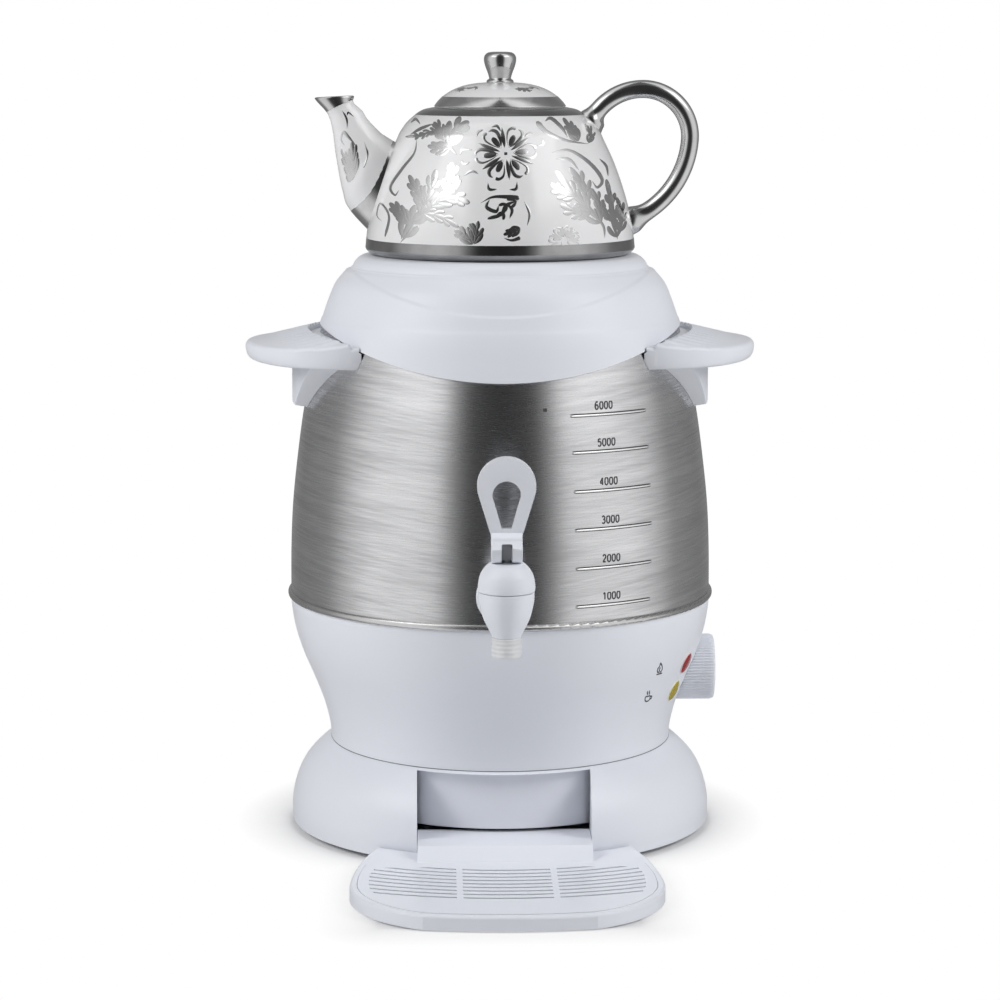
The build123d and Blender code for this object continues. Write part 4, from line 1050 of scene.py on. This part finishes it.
def makeLevels():
    # pressed ridges in a lighter steel that is painted highlight, with a line of painted shade above and
    # below each, and the number of millilitres over it
    size = levels
    ridges, shades, numbers = [], [], []
    for k, z in enumerate(size["heights"]):
        radius = float(radiusAt(tank["outline"], z))
        near, far = size["to"]
        start = math.radians(size["from"]) * radius
        end = math.radians(near + (far - near) * k / (len(size["heights"]) - 1)) * radius
        middle = [(start + (end - start) * f, z) for f in (0, 0.25, 0.5, 0.75, 1)]
        # the two dark lines are painted shade: the groove's dark upper side above each ridge and its shadow
        # below
        for strokes, width, rise in ((ridges, size["ridge"], 0), (shades, 0.8, 0.75), (shades, 0.5, -0.7)):
            strokes.append(("even", width, [(u, v + rise) for u, v in middle]))
        left = math.radians(size["numberFrom"]) * radius
        for place, digit in enumerate(str(1000 * (k + 1))):
            numbers += drawn(digitStrokes[digit], left, z + size["numberRise"], size["size"], size["stroke"],
                             place * size["pitch"])

    # the small dark dot beside the highest line
    angle, z = size["dot"]
    u = math.radians(angle) * float(radiusAt(tank["outline"], z))
    shades.append(("even", 1.9, [(u - size["dotHalf"], z), (u + size["dotHalf"], z)]))
    onTank = wrappedOn(tank["outline"])
    for name, strokes, lift, marking in (("levelRidges", ridges, 0.28, ridgeHighlightSteel),
                                     ("levelShades", shades, 0.03, printAndPaintedShade),
                                     ("levelNumbers", numbers, 0.05, printAndPaintedShade)):
        dress(inked(name, strokes, onTank, lift), "samovar", "tank_steel", finish=marking)


# Small signs beside the lamps: a flame over a bar, and a cup with steam
signs = {"red": (50.0, 105.0), "amber": (49.2, 88.4), "size": 7.6, "stroke": 0.12}
flameSign = [(50, 22, 22, 30, 20, 55, 42, 75, 48, 100, 72, 72, 80, 42, 68, 25, 50, 22),
             (50, 30, 42, 45, 55, 62), (12, 8, 88, 8)]
cupSign = [(10, 50, 14, 20, 30, 8, 56, 8, 72, 20, 76, 50), (10, 50, 76, 50), (76, 44, 95, 40, 90, 22, 72, 22),
           (30, 62, 36, 74, 28, 84, 34, 98), (54, 62, 60, 74, 52, 84, 58, 98)]


def makeSigns():
    size, strokes = signs["size"], []
    for key, drawing in (("red", flameSign), ("amber", cupSign)):
        angle, z = signs[key]
        left = math.radians(angle) * radiusAt(housing["outline"], z) - size / 2
        strokes += drawn(drawing, left, z, size, signs["stroke"], up=-0.5)
    marks = inked("lampSigns", strokes, wrappedOn(housing["outline"]), 0.04)
    dress(marks, "samovar", "white_plastic", finish=blackInk)


def makeSeam():
    # painted shade: a dark ring in the joint where the housing stands in the skirt
    z = skirt["outline"][-1][1]
    r = float(radiusAt(housing["outline"], z + 0.3))
    ring = ringPiece("seamShade", r - 0.3, r + 0.1, z + 0.05, z + 0.5)
    dress(ring, "samovar", "white_plastic", finish=seamPaintedShade)


makeLevels()
makeSigns()
makeSeam()
print("level lines and signs made")


def strokesOf(rows):
    # a row has a kind, a width and the knots' places one after another
    return [(kind, width, list(zip(flat[::2], flat[1::2]))) for kind, width, *flat in rows]


def moved(strokes, across, up, wide=1.0, tall=1.0, thick=1.0):
    return [(kind, width * thick, [(u * wide + across, v * tall + up) for u, v in knots])
            for kind, width, knots in strokes]


def turnedSpots(spots, a):
    return [(x * math.cos(a) - y * math.sin(a), x * math.sin(a) + y * math.cos(a)) for x, y in spots]


def blossom(u, v, size, petals, turn):
    # looped petals with a drop inside each and slim petals between them
    strokes = []
    for k in range(petals):
        a = turn + 2 * math.pi * k / petals
        for side, kind in ((-1, "taper"), (1, "tail")):
            spots = [(1.0, 0.03 * side), (0.97, 0.17 * side), (0.8, 0.25 * side), (0.5, 0.16 * side),
                     (0.24, 0.0)]
            strokes.append((kind, 0.12 * size, turnedSpots(spots, a)))
        strokes.append(("drop", 0.19 * size, turnedSpots([(0.3, 0), (0.5, 0), (0.76, 0)], a)))
        between = turnedSpots([(0.2, 0), (0.6, 0.01), (1.0, 0)], a + math.pi / petals)
        strokes.append(("taper", 0.13 * size, between))
    return moved(strokes, u, v, size, size * 0.86)


# Front of the pot in millimetres: across from its middle and up from its foot
scrollRows = [
    ("even", 1.6, 0.9, 60.4, 2.7, 60.4), ("taper", 1.5, -14.5, 69.5, -13.6, 72.4, -10.6, 73.6),
    ("taper", 1.6, -6.2, 75, -3, 75.6, -0.6, 72.4), ("taper", 1.5, 12.6, 69.6, 15, 71.6, 17.4, 71.2),
    ("taper", 1.6, 19.6, 64.6, 23, 65.6, 22.8, 68.8), ("taper", 1.5, -24, 59.4, -22.4, 62.6, -17, 62.4),
    ("taper", 1.5, -23.6, 56.6, -21.6, 54.6, -18.4, 55.6),
    ("taper", 1.7, -8.6, 44.6, -7.6, 40.8, -3.2, 40.8), ("taper", 1.7, 3.6, 40.6, 7.4, 41, 8.2, 45),
    ("tail", 3, 9.6, 35.8, 2, 36.6, -6, 36.4, -13, 33),
    ("taper", 2.2, -7.4, 35.6, -9.2, 31, -4, 28.6, -2.4, 32),
    ("leaf", 4.6, 8.6, 34.6, 2, 32, -1, 27, -8.4, 24.6), ("taper", 1.8, 1, 33.4, 5, 29.6, 3.6, 24.4),
    ("leaf", 4.4, 9.8, 19.6, 6, 17.6, 0.6, 15.8), ("tail", 2.4, 9.8, 14, 4.8, 12.6, 0.4, 13.8),
    ("taper", 1.6, 12, 34, 15, 27, 13.6, 20.6),
    # leaf at the upper left with its stem and long curl
    ("leaf", 8.6, -30.4, 64, -27, 72, -19.6, 77.6), ("leaf", 5, -32.4, 67, -35, 73.6, -38.4, 77),
    ("leaf", 4.2, -32.8, 68.4, -37, 71.8, -42, 71.4), ("leaf", 6, -29.2, 63.6, -34.6, 63, -41.6, 64),
    ("taper", 2, -25.6, 59.6, -29.6, 64, -32.4, 71.4, -31, 77.6),
    ("leaf", 3.4, -40.4, 72.6, -46, 69.8, -54.6, 68.6), ("taper", 1.8, -38.6, 76.6, -46, 73.6, -52.4, 69.8),
    ("taper", 1.7, -48.4, 68.4, -49.8, 60, -57, 50.6, -63.6, 40.6, -61, 36, -58.6, 39),
    ("taper", 1.5, -52, 76.4, -49, 78.6, -46.4, 76),
    # large plume on the left
    ("leaf", 9, -57.6, 11.6, -50.6, 22.6, -36, 34, -24, 45), ("leaf", 8, -47, 25.6, -41, 38.6, -37.6, 50.4),
    ("leaf", 7, -42.6, 29.4, -47.6, 38, -52.6, 47), ("leaf", 6.6, -52.4, 20.4, -57.6, 26, -63.6, 31),
    ("leaf", 7.4, -38, 33, -28.6, 35.6, -19.4, 33.4), ("leaf", 6.4, -33.4, 38.4, -28.6, 47.6, -28.6, 55),
    ("leaf", 6, -45.4, 27, -35, 25, -25.6, 20), ("taper", 1.6, -58, 9.4, -52.6, 16.6, -49.4, 24),
    ("taper", 1.5, -22, 48, -17.6, 50.6, -13.6, 49.2), ("leaf", 6.6, -17, 10.2, -20.6, 14.6, -26.6, 17.6),
    ("leaf", 6, -16.4, 10.2, -15, 17, -17.4, 21.4),
    ("tail", 1.7, -66.8, 12, -64.4, 24, -69.4, 30.6, -71.6, 24, -68.6, 20.6),
    # scroll at the upper right and the strokes under it
    ("tail", 3.4, 19.4, 78, 25.6, 72, 36.8, 67.2, 50.4, 64.8),
    ("leaf", 5.6, 44, 66.6, 40.8, 71.8, 35.4, 79.2),
    ("taper", 2.2, 37.4, 68.8, 34, 74.4, 28, 79.6, 24.4, 78),
    ("leaf", 4, 49.6, 65.2, 51.6, 70.4, 48.4, 75.6),
    ("taper", 2.2, 27.6, 60.6, 38, 61.8, 50, 54.4, 57.4, 45, 54.4, 40.6, 51.2, 44.4),
    ("taper", 1.8, 30, 57.4, 38, 56.6, 43.6, 50.6),
    # plume on the right
    ("leaf", 8, 57.6, 19.6, 48, 30, 38, 40.6, 30.6, 50.4), ("leaf", 7.2, 46.8, 31.4, 46, 42, 38.4, 51.8),
    ("leaf", 6.2, 42, 36, 34, 38.2, 27.4, 43.4), ("leaf", 6.6, 50.8, 27, 41.6, 27.6, 33, 31.6),
    ("leaf", 5.6, 55.6, 22, 55, 32, 51, 39.6), ("taper", 1.6, 58.4, 12, 57.6, 19, 52, 26),
    # leaves by the handle
    ("leaf", 7, 66.4, 10.6, 63.6, 22, 62.4, 34, 60.2, 44), ("leaf", 6, 67.6, 14, 69.4, 24, 66.6, 33.6),
    ("leaf", 4.6, 64, 22.6, 58.4, 26.6, 57, 33), ("taper", 1.6, 61.4, 46, 60.4, 52, 56, 56.6)]
# On the spout: share of its length from the pot to the lip, and degrees round it from its underside
spoutRows = [
    ("taper", 1.5, 0.42, 96, 0.52, 84, 0.6, 70, 0.56, 58, 0.5, 66),
    ("leaf", 5, 0.3, 62, 0.38, 74, 0.47, 88), ("leaf", 4, 0.3, 62, 0.4, 58, 0.5, 50),
    ("taper", 1.5, 0.66, 118, 0.74, 110, 0.72, 98), ("taper", 1.3, 0.6, 84, 0.7, 92, 0.8, 92),
    ("tail", 1.6, 0.24, 92, 0.3, 108, 0.4, 116)]
# On the lid: turn, and slope from the middle
lidRows = [
    ("taper", 1.5, -26, 18.6, -22, 20.4, -18, 18.8, -14.6, 21),
    ("taper", 1.4, -21, 17.2, -17.6, 18.2, -15.8, 22.4), ("leaf", 3.2, -26.6, 19.4, -30, 21.6, -34, 20.8),
    ("taper", 1.4, 10.6, 18, 15, 20.6, 20.6, 19.4, 28, 18.4), ("leaf", 2.8, 11, 19, 14.6, 22.2, 19, 22.6)]
ornament = {"lift": 0.09, "middle": (1.8, 60.4), "petals": 6, "small": (34.6, 12.4), "smallPetals": 7,
            "spoutLength": 66.0, "spoutRound": 0.18, "lidTurns": 4, "lidStep": 42.85, "lidPitch": 2.1,
            "lidInner": 5.0}


def makePotOrnament():
    # the large blossom, the rows and half a small blossom in front, and all that again behind
    size, z = ornament, pot["z"]
    small = moved(blossom(0, 0, 17.0, size["smallPetals"], 0.35), 0, 0, 0.5, 0.5, 0.75)
    small = [stroke for stroke in small if stroke[2][-1][1] > -1.5]
    strokes = blossom(*size["middle"], 17.0, size["petals"], 0.12) + strokesOf(scrollRows)
    strokes += moved(small, *size["small"])

    def onPot(u, v, lift):
        r = radiusAt(potOutline, v + z)
        return onBody(potOutline, np.arcsin(np.clip(u / r, -0.985, 0.985)), v + z, lift)

    front = inked("potScrolls", strokes, onPot, size["lift"])
    back = linked("potScrollsBack", front.data.copy())
    back.data.transform(Matrix.Rotation(math.pi, 4, "Z"))
    for piece in (front, back):
        dress(piece, "teapot", "silvered_porcelain")


def makeSpoutOrnament():
    long, wide = ornament["spoutLength"], ornament["spoutRound"]
    strokes = moved(strokesOf(spoutRows), 0, 0, long, wide)
    for side in (-1, 1):
        def onSpout(u, v, lift):
            return spoutSurface(u / long, math.pi - np.radians(v / wide) * side, -lift) * mm

        dress(inked("spoutScrolls", strokes, onSpout, ornament["lift"]), "teapot", "silvered_porcelain")


def makeLidOrnament():
    size = ornament
    fine = softCurve(raised(lid["dome"]), 200)

    def onLid(u, v, lift):
        r = v + size["lidInner"]
        z = np.interp(r, fine[:, 0], fine[:, 1]) + lift
        return roundPoints(r, np.radians(u * size["lidPitch"]), z) * mm

    strokes = []
    for turn in range(size["lidTurns"]):
        strokes += moved(strokesOf(lidRows), turn * size["lidStep"], 0)
    dress(inked("lidScrolls", strokes, onLid, size["lift"]), "pot_lid", "silvered_porcelain")


makePotOrnament()
makeSpoutOrnament()
makeLidOrnament()
print("ornament made")


studio = {"floorSize": 6.0, "floorFade": 0.032, "baseRadius": 0.126, "trayHalf": (0.07, 0.065), "trayY": 0.17,
          "floorDrop": 0.0004, "skyLevel": 0.50, "windowGain": 1.3, "windowTurn": (0.17, 0.42, 30.0),
          "windowRise": (0.38, 0.80, 12.0)}
# Azimuth from the front, distance, height, size, power, height that it aims at and whether steel mirrors it
lights = {"left soft light": (-72.0, 1.5, 1.15, (0.9, 0.9), 15.0, 0.22, False),
          "right soft light": (72.0, 1.5, 1.15, (0.9, 0.9), 15.0, 0.22, False),
          "top soft light": (0.0, 0.25, 1.7, (1.6, 1.6), 0.8, 0.0, True),
          "back soft light": (180.0, 1.6, 1.0, (1.4, 0.8), 6.0, 0.22, False)}
# How bright the mirrored room is, by the share of a half turn from the front
skyStops = [(0.0, 0.04), (0.11, 0.07), (0.135, 0.20), (0.16, 0.36), (0.20, 0.85), (0.27, 1.0), (0.42, 1.05),
            (0.50, 0.78), (0.60, 0.34), (0.80, 0.24), (1.0, 0.30)]
camera = {"place": (-0.0399, -1.7716, 0.4600), "pitchDown": 8.60, "turn": -1.289, "lens": 108.63}


def makeFloor():
    # pale floor that keeps the shadow close to the base and the tray and fades to white for the camera
    half = studio["floorSize"] / 2
    side = np.linspace(-half, half, 9)
    points = np.stack([*np.meshgrid(side, side, indexing="ij"), np.zeros((9, 9))], -1)
    made = Finish("pale floor", roughness=0.9)
    speck = made.noise(90.0, 4.0)
    made.set("color", made.blend(made.span(speck, 0.3, 0.7), (0.85, 0.85, 0.85), (0.87, 0.87, 0.87)))
    x, y, _ = made.axes()

    def beyond(value, limit):
        return made.math("MAXIMUM", made.math("ABSOLUTE", value) - limit, 0.0)

    fromBase = made.math("SQRT", x * x + y * y) - studio["baseRadius"]
    halfX, halfY = studio["trayHalf"]
    besideX, besideY = beyond(x, halfX), beyond(y + studio["trayY"], halfY)
    fromTray = made.math("SQRT", besideX * besideX + besideY * besideY)
    away = made.math("MINIMUM", fromBase, fromTray)
    seen = made.node("LightPath", {}, {}, "Is Camera Ray")
    fade = made.math("POWER", made.span(away, 0.0, studio["floorFade"]), 0.5) * seen
    white = made.node("Emission", {}, {"Strength": 1.0})
    both = made.node("MixShader", {}, {0: fade, 1: Wire(made, made.shader.outputs[0]), 2: white})
    # mirrored rays pass it, so the steel shows the same room above and below
    clear = made.node("BsdfTransparent", {}, {})
    mirrored = made.node("LightPath", {}, {}, "Is Glossy Ray")
    whole = made.node("MixShader", {}, {0: mirrored, 1: both, 2: clear})
    made.feed(made.tree.nodes["Material Output"].inputs["Surface"], whole)
    floor = gridPiece("floor", points, closed=False)
    if floor.data.polygons[0].normal.z < 0:
        floor.data.flip_normals()
    floor.data.materials.append(made.material)
    floor.location.z = -studio["floorDrop"]


def makeLight(name, azimuth, distance, height, size, power, aimZ, mirrored):
    data = bpy.data.lights.new(name, "AREA")
    data.shape, data.energy = "RECTANGLE", power
    data.size, data.size_y = size
    lamp = linked(name, data)
    a = math.radians(azimuth)
    lamp.location = (distance * math.sin(a), -distance * math.cos(a), height)
    lamp.rotation_euler = (Vector((0, 0, aimZ)) - lamp.location).to_track_quat("-Z", "Y").to_euler()
    lamp.visible_glossy = mirrored


def makeSky():
    # white behind the object; for gloss, white with a darker room in front and behind
    sky = Finish("studio", bpy.data.worlds, "Background")
    bpy.context.scene.world = sky.material
    x, y, z = sky.axes("Generated")
    side = sky.math("ABSOLUTE", sky.math("ARCTAN2", x, y * -1.0))
    ramp = sky.tree.nodes.new("ShaderNodeValToRGB")
    stops = ramp.color_ramp.elements
    while len(stops) < len(skyStops):
        stops.new(0.5)
    for stop, (place, level) in zip(stops, skyStops):
        stop.position = place
        stop.color = (level, level, level * 1.01, 1.0)
    turn = sky.math("DIVIDE", side, math.pi)
    sky.feed(ramp.inputs[0], turn)

    def within(value, low, high, soft):
        # one between two limits, with a soft edge
        above = sky.math("MULTIPLY", value - low, soft, clamp=True)
        below = sky.math("MULTIPLY", sky.math("SUBTRACT", high, value), soft, clamp=True)
        return above * below

    window = within(turn, *studio["windowTurn"]) * within(z, *studio["windowRise"])
    gain = window * studio["windowGain"] + 1.0
    brighter = sky.node("VectorMath", {"operation": "SCALE"}, {0: Wire(sky, ramp.outputs[0]), "Scale": gain})
    path = sky.tree.nodes.new("ShaderNodeLightPath").outputs
    seen = sky.math("MAXIMUM", *[Wire(sky, path[kind]) for kind in ("Is Camera Ray", "Is Transmission Ray")])
    shown = sky.node("Mix", {"data_type": "RGBA"}, {0: seen, 6: brighter, 7: (1, 1, 1, 1)}, 2)
    sky.feed(sky.shader.inputs["Color"], shown)
    # full strength where it is seen or mirrored, and less where it only lights dull surfaces
    level = studio["skyLevel"]
    mirrored = sky.math("MAXIMUM", seen, Wire(sky, path["Is Glossy Ray"]))
    sky.feed(sky.shader.inputs["Strength"], mirrored * (1 - level) + level)


def makeCamera():
    data = bpy.data.cameras.new("camera")
    data.lens, data.sensor_width = camera["lens"], 36.0
    eye = linked("camera", data)
    eye.location = camera["place"]
    eye.rotation_euler = (math.radians(90 - camera["pitchDown"]), 0, math.radians(camera["turn"]))
    bpy.context.scene.camera = eye


makeFloor()
for name, values in lights.items():
    makeLight(name, *values)
makeSky()
makeCamera()
bpy.context.scene.view_settings.view_transform = "Standard"
print("stage and camera ready")
